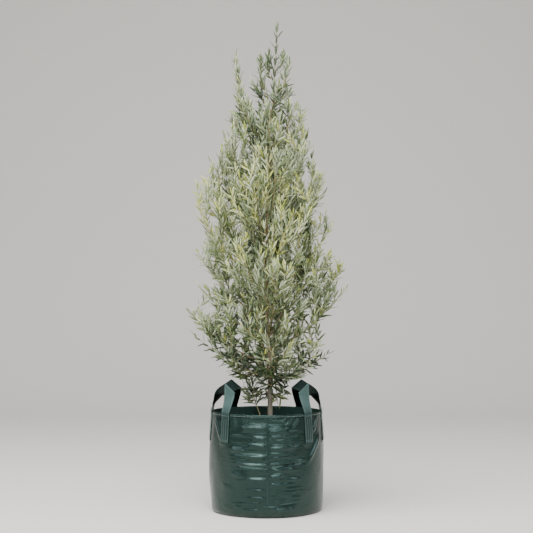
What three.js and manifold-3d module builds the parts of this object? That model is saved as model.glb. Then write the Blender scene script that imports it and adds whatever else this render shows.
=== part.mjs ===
// A young olive tree in a woven planter bag with webbing handles.
// Millimetres, +Z up, the origin at the middle of the bag's underside, the front towards -Y.
// The crown is laid out in its own coordinates round the trunk: reach from the trunk's axis, turn about
// it, and the height at which a rising branch leaves the trunk. Each mass of leaves fills one cell of them.
import * as THREE from "three";
import { mergeVertices } from "three/addons/utils/BufferGeometryUtils.js";
import Module from "manifold-3d";

const wasm = await Module();
wasm.setup();

// The clearance between solids that rest on or grow from each other.
const SEAT_GAP = 0.3;

// The planter bag: a sewn cylinder, a little wider at its belly than at its hem.
const BAG_HEIGHT = 430;
const BAG_WALL = 2.5;
const RIM_RADIUS = 239;
const BELLY_RADIUS = 250;
const FOOT_RADIUS = 224;
const FOOT_ROUNDING = 24;
const HEM_HEIGHT = 20;
const HEM_FOLD = 1.5;
const BAG_SIDES = 32;
const SOIL_TOP = 375;

// The four webbing handles. Turns are degrees anticlockwise from +X, seen from above.
const HANDLES = {
  handle_front_right: [-43, -7],
  handle_back_right: [10, 51],
  handle_front_left: [-136, -173],
  handle_back_left: [170, 129],
};
const STRAP_WIDTH = 50;
const STRAP_THICKNESS = 2.6;
const STRAP_PATCH_LOW = 305;
const LOOP_FOOT = BAG_HEIGHT + 4;
const LOOP_RISE = 124;
const LOOP_LEAN = 46;
const LOOP_ROUNDNESS = 0.8;
const LOOP_TWIST_SHARE = 0.34;
const LOOP_STEPS = 14;

// The trunk's line, carried on as the leader's: height, then how far it stands to the right and to the back.
const TRUNK_LINE = [
  [375, 16, 0],
  [655, 14, 4],
  [830, 2, 6],
  [1070, -2, 0],
  [1270, 3, -5],
  [1430, 17, -3],
  [1650, 13, 2],
  [1850, 34, 4],
  [2110, 45, 0],
];
const TRUNK_TOP = 1850;
const LEADER_TIP = 2088;
const TREE_TOP = 2153;
// Its radius by height, with the flare at the soil.
const TRUNK_RADII = [
  [375, 15],
  [400, 11.5],
  [655, 8.6],
  [950, 5.8],
  [1400, 3.9],
  [TRUNK_TOP, 2.6],
];
const TRUNK_SIDES = 7;
const TRUNK_RINGS = 27;

// How far the crown reaches from the trunk at each height: to the left, and to the right.
const CROWN_REACH = [
  [440, 60, 70],
  [539, 130, 100],
  [592, 240, 205],
  [693, 295, 275],
  [772, 337, 304],
  [859, 354, 318],
  [982, 305, 360],
  [1070, 320, 346],
  [1162, 344, 267],
  [1225, 262, 300],
  [1276, 300, 316],
  [1400, 360, 245],
  [1502, 277, 268],
  [1631, 240, 185],
  [1756, 176, 156],
  [1830, 136, 92],
  [2000, 81, 68],
  [2060, 42, 42],
  [TREE_TOP, 12, 12],
];

// A branch that leaves the trunk at height s passes reach r at height s + steepness(s) * bend(r).
const CROWN_FOOT = 440;
const FOOT_STEEPNESS = 0.35;
const STEEPNESS_GAIN = 0.0012;
const BEND_START = 0.5;
const BEND_SPAN = 500;

// The tiers of foliage: where each begins on the trunk, where its left and its right branch leave the
// trunk, its number of masses, and how many degrees its left branch is turned from straight left.
const TIERS = [
  [530, 570, 552, 4, 10],
  [605, 625, 690, 4, -14],
  [712, 741, 766, 4, 9],
  [798, 829, 850, 4, -12],
  [890, 967, 931, 4, 13],
  [1025, 1075, 1100, 4, -9],
  [1130, 1185, 1162, 4, 11],
  [1245, 1306, 1331, 3, 26],
  [1375, 1476, 1421, 3, -28],
  [1510, 1580, 1544, 3, 24],
  [1650, 1740, 1755, 3, -26],
];
const TIERS_TOP = 1820;
// The tiers whose left and right branches are boughs, and the share of such a branch that is bare bough.
const BOUGH_TIERS = [1, 2, 3];
const BOUGH_SHARE = 0.42;
const BOUGH_RADII = [5.4, 3.6];

// Single shoots with a way of their own through the crown. Each is a curve from the reach and height of its
// foot, bent towards a second point, to its tip, in the upright plane at its turn. The first two are one
// limb: a strong bough that rises steeply at the front right, and the shoot that carries it on.
const UPRIGHT_BOUGH = { turn: -45, foot: [0, 748], towards: [125, 862], tip: [165, 1022], radii: [6.2, 4.2] };
const UPRIGHT_SHOOT = { turn: -45, foot: [165, 1022], towards: [197, 1150], tip: [240, 1352], radii: [3.4, 1.5] };
const SHOOTS = {
  upright: { ...UPRIGHT_SHOOT, room: 44, bare: 0.05, lift: 0.6 },
  left_leader: { turn: 180, foot: [0, 1460], towards: [140, 1640], tip: [176, 1985], radii: [2.8, 1.4], room: 36 },
  basal_left: { turn: 188, foot: [0, 392], towards: [62, 425], tip: [70, 530], radii: [2.2, 1.4], room: 40 },
  basal_right: { turn: -12, foot: [0, 455], towards: [34, 480], tip: [56, 524], radii: [2.2, 1.4], room: 36 },
};
const SHOOT_BARE = 0.2;

// The leaves and twigs. These leaves are larger than life, because each stands for several.
const LEAF_LENGTH = 84;
const LEAF_WIDTH = 19;
const LEAF_THICKNESS = 1.6;
const LEAF_ROOM = 15;
const PAIR_STAGGER = 3;
const CROWN_LEAFING = { spread: 36, size: LEAF_LENGTH, spacing: 76, twiggy: true };
const SHOOT_LEAFING = { spread: 26, size: 62, spacing: 52, twiggy: false };
const LEADER_LEAFING = { spread: 24, size: 62, spacing: 48, twiggy: true };
const TWIG_SPACING = 108;
const TWIG_SHARE = 0.6;
const TWIG_SPREAD = 46;
const TWIG_SHORTEST = 40;
const TWIG_BARE = 0.22;
const STEM_RADII = [3, 1.6];
const STEM_BARE = 0.14;
const TWIG_RADII = [1.9, 1.3];
const CELL_MARGIN = 2.5;
const OUTLINE_MARGIN = 12;
const HANDLE_TOP = LOOP_FOOT + LOOP_RISE + 12;
const HANDLE_ZONE = 105;

const radians = (degrees) => (degrees * Math.PI) / 180;
const mix = (a, b, share) => a + (b - a) * share;
const ease = (share) => share * share * (3 - 2 * share);
const straight = (share) => share;

// A repeatable stream of numbers from 0 to 1.
function numbers(seed) {
  let state = Math.imul(seed, 2654435761) >>> 0;
  return () => {
    state = (Math.imul(state, 1664525) + 1013904223) >>> 0;
    return state / 4294967296;
  };
}

// The value in a table's column at a height, between its rows.
function read(table, height, column, between = straight) {
  const above = table.findIndex((row) => height <= row[0]);
  if (above === 0) return table[0][column];
  if (above < 0) return table[table.length - 1][column];
  const [low, high] = [table[above - 1], table[above]];
  return mix(low[column], high[column], between((height - low[0]) / (high[0] - low[0])));
}

// The trunk's middle at a height, on an eased line with no corners.
function trunkPoint(height) {
  return new THREE.Vector3(read(TRUNK_LINE, height, 1, ease), read(TRUNK_LINE, height, 2, ease), height);
}

const outward = (turn) => new THREE.Vector3(Math.cos(turn), Math.sin(turn), 0);
const sideways = (turn) => new THREE.Vector3(-Math.sin(turn), Math.cos(turn), 0);

// Solids and geometry, each made from the other.
function solidFrom(geometry) {
  const bare = geometry.clone();
  bare.deleteAttribute("normal");
  bare.deleteAttribute("uv");
  const merged = mergeVertices(bare, 1e-3);
  const vertProperties = merged.attributes.position.array;
  const triVerts = new Uint32Array(merged.index.array);
  return new wasm.Manifold(new wasm.Mesh({ numProp: 3, vertProperties, triVerts }));
}

function geometryFrom(solid) {
  const { numProp, numVert, vertProperties, triVerts } = solid.getMesh();
  const points = new Float32Array(numVert * 3);
  for (let i = 0; i < numVert; i++) {
    points.set(vertProperties.subarray(i * numProp, i * numProp + 3), i * 3);
  }
  const geometry = new THREE.BufferGeometry();
  geometry.setAttribute("position", new THREE.BufferAttribute(points, 3));
  geometry.setIndex(new THREE.BufferAttribute(new Uint32Array(triVerts), 1));
  geometry.computeVertexNormals();
  return geometry;
}

// The direction of a line at t, where the line is a function from 0 to 1.
function heading(line, t, step = 0.02) {
  return line(Math.min(1, t + step))
    .sub(line(Math.max(0, t - step)))
    .normalize();
}

// A tapering limb: a cylinder whose rings are moved on to a line.
function limb(line, radius, sides, rings, across) {
  const shape = new THREE.CylinderGeometry(1, 1, 1, sides, rings);
  const place = shape.attributes.position;
  for (let i = 0; i < place.count; i++) {
    const t = place.getY(i) + 0.5;
    const along = heading(line, t, 0.001);
    const first = across.clone().addScaledVector(along, -across.dot(along)).normalize();
    const second = first.clone().cross(along);
    const point = line(t);
    point.addScaledVector(first, place.getX(i) * radius(t));
    point.addScaledVector(second, place.getZ(i) * radius(t));
    place.setXYZ(i, point.x, point.y, point.z);
  }
  return shape;
}

const taper = (radii) => (t) => mix(radii[0], radii[1], t);
const between = (from, to) => (t) => from.clone().lerp(to, t);

// A leaf of six faces, pointed at both ends and keeled below, from its root along its own length.
function leafShape({ root, along, facing, length }) {
  const shape = new THREE.SphereGeometry(1, 3, 2);
  shape.scale(LEAF_THICKNESS / 1.5, length / 2, LEAF_WIDTH / Math.sqrt(3));
  shape.translate(0, length / 2, 0);
  const place = new THREE.Matrix4().makeBasis(facing, along, facing.clone().cross(along));
  return shape.applyMatrix4(place.setPosition(root));
}

// Crown coordinates, and back.
const bend = (reach) => reach * (BEND_START + reach / BEND_SPAN);
const steepness = (start) => FOOT_STEEPNESS + STEEPNESS_GAIN * (start - CROWN_FOOT);

function crownPoint(reach, turn, start) {
  const height = start + steepness(start) * bend(reach);
  return trunkPoint(height).addScaledVector(outward(turn), reach);
}

function crownPlace(point) {
  const axis = trunkPoint(point.z);
  const [x, y] = [point.x - axis.x, point.y - axis.y];
  const reach = Math.hypot(x, y);
  const rise = point.z - CROWN_FOOT - FOOT_STEEPNESS * bend(reach);
  const start = CROWN_FOOT + rise / (1 + STEEPNESS_GAIN * bend(reach));
  return { reach, turn: Math.atan2(y, x), start };
}

// The crown's outline, which is wider on one side than on the other.
function crownReach(height, turn) {
  const [left, right] = [read(CROWN_REACH, height, 1), read(CROWN_REACH, height, 2)];
  return (left + right) / 2 + ((right - left) / 2) * Math.cos(turn);
}

// The curve of a single shoot.
function shootLine({ turn, foot, towards, tip }) {
  const [a, b, c] = [foot, towards, tip].map(([reach, height]) =>
    trunkPoint(height).addScaledVector(outward(radians(turn)), reach),
  );
  const curve = new THREE.QuadraticBezierCurve3(a, b, c);
  return (t) => curve.getPoint(t);
}

// A line kept as points, for telling how near another point is to it.
const sampled = (line, count = 24) => Array.from({ length: count + 1 }, (_, i) => line(i / count));
const distanceTo = (points, point) => Math.sqrt(Math.min(...points.map((p) => p.distanceToSquared(point))));

// The rooms of the single shoots, which the cells leave free.
const uprightBough = shootLine(UPRIGHT_BOUGH);
const rooms = [
  { points: sampled(uprightBough).slice(4), room: 14 },
  ...Object.values(SHOOTS).map((shoot) => ({ points: sampled(shootLine(shoot)), room: shoot.room })),
];

function nearTrunkOrHandle(point, margin) {
  const { reach } = crownPlace(point);
  const nearTrunk = point.z < TRUNK_TOP + margin && reach < read(TRUNK_RADII, point.z, 1) + margin;
  return nearTrunk || (point.z < HANDLE_TOP && reach > HANDLE_ZONE);
}

// Whether a point lies in a mass's own cell of the crown, which may be the whole way round.
function inCell(point, cell, margin) {
  const { reach, turn, start } = crownPlace(point);
  const off = Math.abs(Math.atan2(Math.sin(turn - cell.turn), Math.cos(turn - cell.turn)));
  const roomToSide = reach * Math.sin(Math.min(Math.PI / 2, cell.half - off));
  const inSector = cell.half > Math.PI || (off < cell.half && roomToSide > margin);
  const inTier = start > cell.low + margin && start < cell.high - margin;
  const inOutline = reach < crownReach(point.z, turn) + OUTLINE_MARGIN && point.z < TREE_TOP;
  if (!inSector || !inTier || !inOutline || nearTrunkOrHandle(point, margin)) return false;
  return rooms.every(({ points, room }) => distanceTo(points, point) > room + margin);
}

// How far out a branch gets before the leaf at its tip meets the crown's outline.
function reachOfBranch(turn, start) {
  let reach = 20;
  for (let fits = true; fits && reach < 400; reach += 4) {
    const slope = steepness(start) * (BEND_START + (2 * reach) / BEND_SPAN);
    const ahead = LEAF_LENGTH / Math.hypot(1, slope);
    const height = start + steepness(start) * bend(reach) + ahead * slope;
    fits = reach + ahead < crownReach(height, turn);
  }
  return reach;
}

// The direction in which a leaf or twig leaves a stem: spread away from it, towards one side.
function leaving(along, side, spread) {
  return along.clone().multiplyScalar(Math.cos(spread)).addScaledVector(side, Math.sin(spread)).normalize();
}

// Leaves in opposite pairs up a stem, each pair a quarter turn on from the last, and one at its tip.
// Each comes as a row of choices, nearer and nearer to the stem, of which the first that fits is grown.
function leavesOn(line, length, bare, across, { spread, size, spacing }, random) {
  const leaves = [];
  const put = (t, opening, roll) => {
    const blade = size * mix(0.88, 1.08, random());
    const along = heading(line, t);
    const side = across.clone().applyAxisAngle(along, roll);
    const choices = [1, 0.7, 0.4].map((share) => {
      const out = leaving(along, side, opening * share);
      const facing = along.clone().addScaledVector(out, -along.dot(out)).normalize();
      return { root: line(t).addScaledVector(out, -1), along: out, facing, length: blade };
    });
    leaves.push(choices);
  };
  const pairs = Math.max(1, Math.round((length * (1 - bare)) / spacing));
  for (let i = 0; i < pairs; i++) {
    const t = mix(bare, 0.94, (i + 0.5) / pairs);
    const roll = (i % 2) * (Math.PI / 2) + mix(-0.4, 0.4, random());
    put(t, radians(spread) * mix(0.8, 1.2, random()), roll);
    put(t + PAIR_STAGGER / length, radians(spread) * mix(0.8, 1.2, random()), roll + Math.PI);
  }
  put(0.985, 0.1, random() * Math.PI);
  return leaves;
}

// Twigs to both sides of a stem by turns, each as long as fits in the mass's space.
function twigsOn(stem, length, bare, across, inSpace, random) {
  const twigs = [];
  const count = Math.round((length * (1 - bare)) / TWIG_SPACING);
  for (let i = 0; i < count; i++) {
    const t = mix(bare + 0.06, 0.84, (i + 0.4) / count);
    const along = heading(stem, t);
    const side = across.clone().multiplyScalar(i % 2 ? -1 : 1);
    side.applyAxisAngle(along, mix(-0.6, 0.6, random()));
    const out = leaving(along, side, radians(TWIG_SPREAD) * mix(0.8, 1.2, random()));
    const root = stem(t);
    const full = Math.max(50, length * TWIG_SHARE * (1 - 0.5 * t));
    const ends = [1, 0.8, 0.6, 0.42]
      .filter((share) => full * share > TWIG_SHORTEST)
      .map((share) => root.clone().addScaledVector(out, full * share));
    const fits = (end) => [0.4, 0.7, 1].every((u) => inSpace(root.clone().lerp(end, u), CELL_MARGIN + 1));
    const end = ends.find(fits);
    if (end) twigs.push({ root, end, side });
  }
  return twigs;
}

// Points along a blade, and whether they stand off the blades already grown.
function bladePoints({ root, along, length }) {
  return [0.4, 0.7, 1].map((u) => root.clone().addScaledVector(along, length * u));
}

function offOthers(leaf, grown) {
  return grown.length === 0 || bladePoints(leaf).every((point) => distanceTo(grown, point) > LEAF_ROOM);
}

// A leaf fits where its blade stays in the space of its mass and off the limbs.
function leafFits({ root, along, facing, length }, inSpace, limbs) {
  const side = facing.clone().cross(along);
  const edges = [0.2, 0.5, 0.75, 1].flatMap((share) => {
    const half = (LEAF_WIDTH / 2) * (1 - Math.abs(2 * share - 1));
    const middle = root.clone().addScaledVector(along, length * share);
    return [-half, half].map((offset) => middle.clone().addScaledVector(side, offset));
  });
  const offLimbs = (point) => limbs.every(({ points, room }) => distanceTo(points, point) > room);
  return edges.every((point) => inSpace(point, CELL_MARGIN) && offLimbs(point));
}

// One mass of leaves in its space: its stem, the twigs on it and the leaves on both, as one solid.
function growMass({ stem, radii, bare, across, inSpace, leafing, limbs, seed }) {
  const length = stem(1).distanceTo(stem(0));
  const shapes = [limb(stem, taper(radii), 3, 3, across)];
  const leaves = leavesOn(stem, length, bare, across, leafing, numbers(seed + 500));
  const twigs = leafing.twiggy ? twigsOn(stem, length, bare, across, inSpace, numbers(seed)) : [];
  for (const { root, end, side } of twigs) {
    const twig = between(root, end);
    const upright = Math.abs(end.z - root.z) > 0.8 * root.distanceTo(end);
    shapes.push(limb(twig, taper(TWIG_RADII), 3, 1, new THREE.Vector3(upright ? 1 : 0, 0, upright ? 0 : 1)));
    const random = numbers(seed + 501 + shapes.length);
    leaves.push(...leavesOn(twig, root.distanceTo(end), TWIG_BARE, side, leafing, random));
  }
  const grown = [];
  for (const choices of leaves) {
    const leaf = choices.find((choice) => leafFits(choice, inSpace, limbs) && offOthers(choice, grown));
    if (!leaf) continue;
    grown.push(...bladePoints(leaf));
    shapes.push(leafShape(leaf));
  }
  return fuse(shapes);
}

// The pieces of one mass joined into one solid, cut clear of the trunk. A loose scrap is dropped.
function fuse(shapes) {
  const joined = wasm.Manifold.union(shapes.map(solidFrom)).subtract(trunkRoom);
  const parts = joined.decompose().sort((a, b) => b.volume() - a.volume());
  return geometryFrom(parts[0]);
}

// The trunk, from its flat foot on the soil to the leader, and the same a little fatter, to cut the rest clear.
function trunk(extra) {
  const [low, high] = [SOIL_TOP + SEAT_GAP - extra, TRUNK_TOP + extra];
  const flareTop = TRUNK_RADII[1][0];
  const flareShare = 1 / TRUNK_RINGS;
  const heightAt = (t) =>
    t < flareShare ? mix(low, flareTop, t / flareShare) : mix(flareTop, high, (t - flareShare) / (1 - flareShare));
  const line = (t) => trunkPoint(heightAt(t));
  const radius = (t) => read(TRUNK_RADII, heightAt(t), 1) + extra;
  return limb(line, radius, TRUNK_SIDES, TRUNK_RINGS, new THREE.Vector3(0, 1, 0));
}
const trunkRoom = solidFrom(trunk(SEAT_GAP));

// A shape turned about the upright axis from a profile of reach and height.
function turned(profile, sides) {
  const points = profile.map(([reach, height]) => new THREE.Vector2(reach, height));
  return new THREE.LatheGeometry(points, sides).rotateX(Math.PI / 2);
}

// The bag's outer radius at a height: rounded at the foot, fullest at the belly, drawn in to the hem.
function bagRadius(height) {
  const foot = FOOT_RADIUS + FOOT_ROUNDING * 0.75;
  if (height < FOOT_ROUNDING) {
    const share = 1 - height / FOOT_ROUNDING;
    return mix(FOOT_RADIUS, foot, Math.sqrt(1 - share * share));
  }
  const share = (height - FOOT_ROUNDING) / (BAG_HEIGHT - FOOT_ROUNDING);
  const swell = BELLY_RADIUS - (foot + RIM_RADIUS) / 2;
  return mix(foot, RIM_RADIUS, share) + swell * Math.sin(Math.PI * share);
}

const HEM_LOW = BAG_HEIGHT - HEM_HEIGHT;
const bagSkin = [0, 6, FOOT_ROUNDING, 110, 220, 320, HEM_LOW].map((height) => [height, bagRadius(height)]);
const hemSkin = [HEM_LOW + 0.5, BAG_HEIGHT].map((height) => [height, bagRadius(height) + HEM_FOLD]);

function bag() {
  const outside = [...bagSkin, ...hemSkin].map(([height, radius]) => [radius, height]);
  const inside = [...bagSkin.slice(2), [BAG_HEIGHT, RIM_RADIUS]].reverse();
  const lining = inside.map(([height, radius]) => [radius - BAG_WALL, height]);
  const floor = [
    [FOOT_RADIUS, BAG_WALL + 5],
    [FOOT_RADIUS - 12, BAG_WALL],
    [0, BAG_WALL],
  ];
  return turned([[0, 0], ...outside, ...lining, ...floor], BAG_SIDES);
}

// The soil and roots that fill the bag, clear of its wall and floor.
function soil() {
  const clear = BAG_WALL + 2 * SEAT_GAP;
  const heights = [FOOT_ROUNDING + 2, 110, 220, 320, SOIL_TOP];
  const wall = heights.map((height) => [read(bagSkin, height, 1) - clear, height]);
  const low = BAG_WALL + SEAT_GAP;
  return turned([[0, low], [FOOT_RADIUS - 14, low], ...wall, [0, SOIL_TOP]], BAG_SIDES);
}

// The middle of the webbing where it lies on the bag's wall or hem.
function onWall(turn, height) {
  const onHem = height > HEM_LOW - 2;
  const skin = onHem ? hemSkin[0][1] : read(bagSkin, height, 1);
  const point = outward(turn).multiplyScalar(skin + STRAP_THICKNESS / 2 + SEAT_GAP);
  return point.setZ(height);
}

// A handle: webbing sewn up the outside of the bag, round a free loop that leans in over the rim, and down
// again. Its width turns from along the rim to across it at the top of the loop, and back.
function handle([firstDegrees, lastDegrees]) {
  const [first, last] = [radians(firstDegrees), radians(lastDegrees)];
  const middle = outward((first + last) / 2);
  const sense = Math.sign(last - first);
  const [start, end] = [onWall(first, LOOP_FOOT), onWall(last, LOOP_FOOT)];
  const sewn = [STRAP_PATCH_LOW, 320, 400, HEM_LOW - 1, LOOP_FOOT];
  const up = sewn.map((height) => ({
    point: onWall(first, height),
    across: sideways(first).multiplyScalar(sense),
  }));
  const down = sewn.map((height) => ({
    point: onWall(last, height),
    across: sideways(last).multiplyScalar(-sense),
  }));
  const loop = [];
  for (let i = 1; i < LOOP_STEPS; i++) {
    const u = i / LOOP_STEPS;
    const rise = Math.pow(Math.sin(Math.PI * u), LOOP_ROUNDNESS);
    const point = start.clone().lerp(end, (1 - Math.cos(Math.PI * u)) / 2);
    point.addScaledVector(middle, -LOOP_LEAN * rise).setZ(LOOP_FOOT + LOOP_RISE * rise);
    const twist = ease(Math.min(1, Math.min(u, 1 - u) / LOOP_TWIST_SHARE)) * (Math.PI / 2);
    const leg = u < 0.5 ? up[0].across : down[0].across;
    const across = leg.clone().multiplyScalar(Math.cos(twist)).addScaledVector(middle, sense * Math.sin(twist));
    loop.push({ point, across });
  }
  return ribbon([...up, ...loop, ...down.reverse()], STRAP_WIDTH, STRAP_THICKNESS);
}

// A flat band: a long box whose cross-sections are moved on to stations, each with the direction of its width.
function ribbon(stations, width, thickness) {
  const last = stations.length - 1;
  const shape = new THREE.BoxGeometry(width, thickness, 1, 1, 1, last);
  const place = shape.attributes.position;
  for (let i = 0; i < place.count; i++) {
    const index = Math.round((place.getZ(i) + 0.5) * last);
    const { point, across } = stations[index];
    const before = stations[Math.max(0, index - 1)].point;
    const along = stations[Math.min(last, index + 1)].point.clone().sub(before).normalize();
    const wide = across.clone().addScaledVector(along, -across.dot(along)).normalize();
    const face = along.clone().cross(wide);
    const corner = point.clone().addScaledVector(wide, place.getX(i)).addScaledVector(face, place.getY(i));
    place.setXYZ(i, corner.x, corner.y, corner.z);
  }
  return shape;
}

const finish = (color, roughness) => new THREE.MeshStandardMaterial({ color, roughness, metalness: 0 });
const bagGreen = finish(0x2f4a40, 0.42);
const strapGreen = finish(0x4d6664, 0.75);
const soilBrown = finish(0x3a2c22, 0.95);
const barkGrey = finish(0x8a7d68, 0.85);
const leafGreen = finish(0x8c9670, 0.6);

const tree = new THREE.Group();
function add(name, geometry, material) {
  const mesh = new THREE.Mesh(geometry, material);
  mesh.name = name;
  tree.add(mesh);
}

// A bare limb from the trunk, cut clear of it.
function addBough(name, line, radii, across) {
  const shape = limb(line, taper(radii), 6, 5, across);
  add(`bough_${name}`, geometryFrom(solidFrom(shape).subtract(trunkRoom)), barkGrey);
}

add("planter_bag", bag(), bagGreen);
add("root_ball", soil(), soilBrown);
for (const [name, turns] of Object.entries(HANDLES)) add(name, handle(turns), strapGreen);
add("trunk", trunk(0), barkGrey);
addBough("upright", uprightBough, UPRIGHT_BOUGH.radii, sideways(radians(UPRIGHT_BOUGH.turn)));

// The tiers, each a ring of masses. Their stems are kept, so that the single shoots can stand off them.
const stems = [];
TIERS.forEach(([low, leftStart, rightStart, count, offset], tier) => {
  const high = tier + 1 < TIERS.length ? TIERS[tier + 1][0] : TIERS_TOP;
  for (let j = 0; j < count; j++) {
    const label = `${tier + 1}${"abcd"[j]}`;
    const seed = 100 * (tier + 1) + j;
    const random = numbers(seed + 50);
    const turn = Math.PI + radians(offset) + (2 * Math.PI * j) / count;
    const [toLeft, toRight] = [Math.cos(turn) < -0.7, Math.cos(turn) > 0.7];
    const elsewhere = mix(low, high, mix(0.3, 0.6, random()));
    const start = toLeft ? leftStart : toRight ? rightStart : elsewhere;
    const curl = mix(-0.14, 0.14, random());
    const whole = reachOfBranch(turn, start);
    const branch = (t) => crownPoint(whole * t, turn + curl * t * t, start);
    const cell = { low, high, turn, half: Math.PI / count };
    const mass = {
      stem: branch,
      radii: STEM_RADII,
      bare: STEM_BARE,
      across: sideways(turn),
      inSpace: (point, margin) => inCell(point, cell, margin),
      leafing: CROWN_LEAFING,
      limbs: [],
      seed,
    };
    if (BOUGH_TIERS.includes(tier) && (toLeft || toRight)) {
      const bough = (t) => branch(t * BOUGH_SHARE);
      const lift = (1.4 * SEAT_GAP) / branch(1).distanceTo(branch(0));
      addBough(label, bough, BOUGH_RADII, mass.across);
      mass.stem = (t) => branch(mix(BOUGH_SHARE + lift, 1, t));
      mass.bare = 0.06;
      mass.limbs = [{ points: sampled(bough), room: 9 }];
    }
    stems.push({ points: sampled(mass.stem), room: STEM_RADII[0] + 3 });
    add(`foliage_${label}`, growMass(mass), leafGreen);
  }
});

// The single shoots, which keep to their rooms and off the other stems.
Object.entries(SHOOTS).forEach(([name, { turn, radii, room, bare = SHOOT_BARE, lift = 0, ...curve }], i) => {
  const line = shootLine({ turn, ...curve });
  const points = sampled(line);
  const clear = lift / line(0).distanceTo(line(1));
  const mass = {
    stem: (t) => line(mix(clear, 1, t)),
    radii,
    bare,
    across: sideways(radians(turn)),
    inSpace: (point, margin) => !nearTrunkOrHandle(point, margin) && distanceTo(points, point) < room - margin,
    leafing: SHOOT_LEAFING,
    limbs: stems,
    seed: 1500 + i,
  };
  add(`foliage_${name}`, growMass(mass), leafGreen);
});

// The leader, above the trunk's end.
const leaderCell = { low: TIERS_TOP, high: 2 * TREE_TOP, turn: 0, half: 2 * Math.PI };
const leader = {
  stem: (t) => trunkPoint(mix(TRUNK_TOP + SEAT_GAP, LEADER_TIP, t)),
  radii: [2.4, 1.3],
  bare: 0.02,
  across: new THREE.Vector3(-1, 0, 0),
  inSpace: (point, margin) => inCell(point, leaderCell, margin),
  leafing: LEADER_LEAFING,
  limbs: [],
  seed: 1600,
};
add("foliage_leader", growMass(leader), leafGreen);

export default tree;
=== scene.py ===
# %% [markdown]
# # A young olive in a planter bag
# The frame brings in the plant's plain solids at their real place, in metres. This script dresses them: it
# sews the bag, lays its webbing, fills it with soil, and grows the crown from the same rule as the solids,
# with finer twigs and leaves of a real leaf's size. Each step first says what the thing is on the real plant.

# %% Load the frame
import math
from collections import namedtuple
from functools import partial

import bpy
import numpy as np
from mathutils import Matrix, Vector, noise


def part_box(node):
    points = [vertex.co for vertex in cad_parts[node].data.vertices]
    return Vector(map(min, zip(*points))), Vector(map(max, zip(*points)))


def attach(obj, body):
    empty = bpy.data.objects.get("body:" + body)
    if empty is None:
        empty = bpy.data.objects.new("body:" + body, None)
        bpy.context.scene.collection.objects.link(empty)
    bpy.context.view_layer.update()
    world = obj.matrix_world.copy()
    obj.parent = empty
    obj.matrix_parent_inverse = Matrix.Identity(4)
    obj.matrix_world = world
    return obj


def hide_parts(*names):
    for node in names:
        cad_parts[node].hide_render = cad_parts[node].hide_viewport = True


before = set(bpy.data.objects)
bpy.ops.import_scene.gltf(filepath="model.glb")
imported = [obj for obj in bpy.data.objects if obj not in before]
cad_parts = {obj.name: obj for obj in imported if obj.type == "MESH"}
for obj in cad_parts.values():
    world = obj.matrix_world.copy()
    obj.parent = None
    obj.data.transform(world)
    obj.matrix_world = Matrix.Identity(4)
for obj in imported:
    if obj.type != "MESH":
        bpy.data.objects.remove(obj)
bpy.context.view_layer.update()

# %% [markdown]
# ## A few tools for the work
# A primitive comes in selected, and so do the frame's solids, so each step starts with nothing selected.
# A finished piece keeps its place in its mesh, with its object at the origin, and rides on the plant's body.

# %% Taking up and setting down a piece
MM = 0.001


def take_up(piece=None):
    """Selects only this piece, or nothing at all."""
    if bpy.context.object and bpy.context.object.mode != "OBJECT":
        bpy.ops.object.mode_set(mode="OBJECT")
    bpy.ops.object.select_all(action="DESELECT")
    if piece:
        bpy.context.view_layer.objects.active = piece
        piece.select_set(True)
    return piece


def set_down(piece, name, finish, nodes=()):
    """Names a finished piece, gives it its finish, hangs it on the plant's body and hides the solids that it
    stands for.
    """
    take_up(piece)
    bpy.ops.object.transform_apply(location=True, rotation=True, scale=True)
    piece.name = name
    if finish:
        piece.data.materials.clear()
        piece.data.materials.append(finish)
    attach(piece, "root")
    if nodes:
        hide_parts(*nodes)
    print(f"{name}: {len(piece.data.polygons)} faces")
    return piece


def apply_modifier(piece, kind, **settings):
    """Adds one modifier, sets it, and applies it as by hand."""
    take_up(piece)
    modifier = piece.modifiers.new(kind.lower(), kind)
    for key, value in settings.items():
        setattr(modifier, key, value)
    bpy.ops.object.modifier_apply(modifier=modifier.name)


def face_outward():
    """Turns every face of the piece in hand outward."""
    bpy.ops.object.mode_set(mode="EDIT")
    bpy.ops.mesh.select_all(action="SELECT")
    bpy.ops.mesh.normals_make_consistent(inside=False)
    bpy.ops.object.mode_set(mode="OBJECT")


def smooth(sharpest):
    """Shades the piece in hand smooth, except over edges that are sharper than this, in degrees."""
    bpy.ops.object.shade_smooth_by_angle(angle=math.radians(sharpest))


# %% [markdown]
# Meshes that hold hundreds of small things, such as stitches or leaves, are made from arrays: one small
# shape is modelled once, and its points are set out again at every place where it is wanted.

# %% Points of a mesh, and a mesh from arrays
def points_of(piece):
    """A mesh's points, as an array that can be changed and put back."""
    points = np.empty(len(piece.data.vertices) * 3)
    piece.data.vertices.foreach_get("co", points)
    return points.reshape(-1, 3)


def array_of(points):
    return np.array([tuple(point) for point in points])


def put_points(piece, points):
    piece.data.vertices.foreach_set("co", points.ravel())
    piece.data.update()


def mesh_from(name, points, corners, finish_index=None):
    """An object from an array of points and an array of faces, all with the same number of corners."""
    mesh = bpy.data.meshes.new(name)
    mesh.vertices.add(len(points))
    mesh.vertices.foreach_set("co", points.ravel())
    mesh.loops.add(corners.size)
    mesh.loops.foreach_set("vertex_index", corners.ravel())
    mesh.polygons.add(len(corners))
    mesh.polygons.foreach_set("loop_start", np.arange(0, corners.size, corners.shape[1]))
    if finish_index is not None:
        mesh.polygons.foreach_set("material_index", finish_index)
    mesh.update(calc_edges=True)
    mesh.validate()
    piece = bpy.data.objects.new(name, mesh)
    bpy.context.scene.collection.objects.link(piece)
    return piece


def triangles_of(piece):
    piece.data.calc_loop_triangles()
    corners = np.empty(len(piece.data.loop_triangles) * 3, int)
    piece.data.loop_triangles.foreach_get("vertices", corners)
    return corners.reshape(-1, 3)


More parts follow.
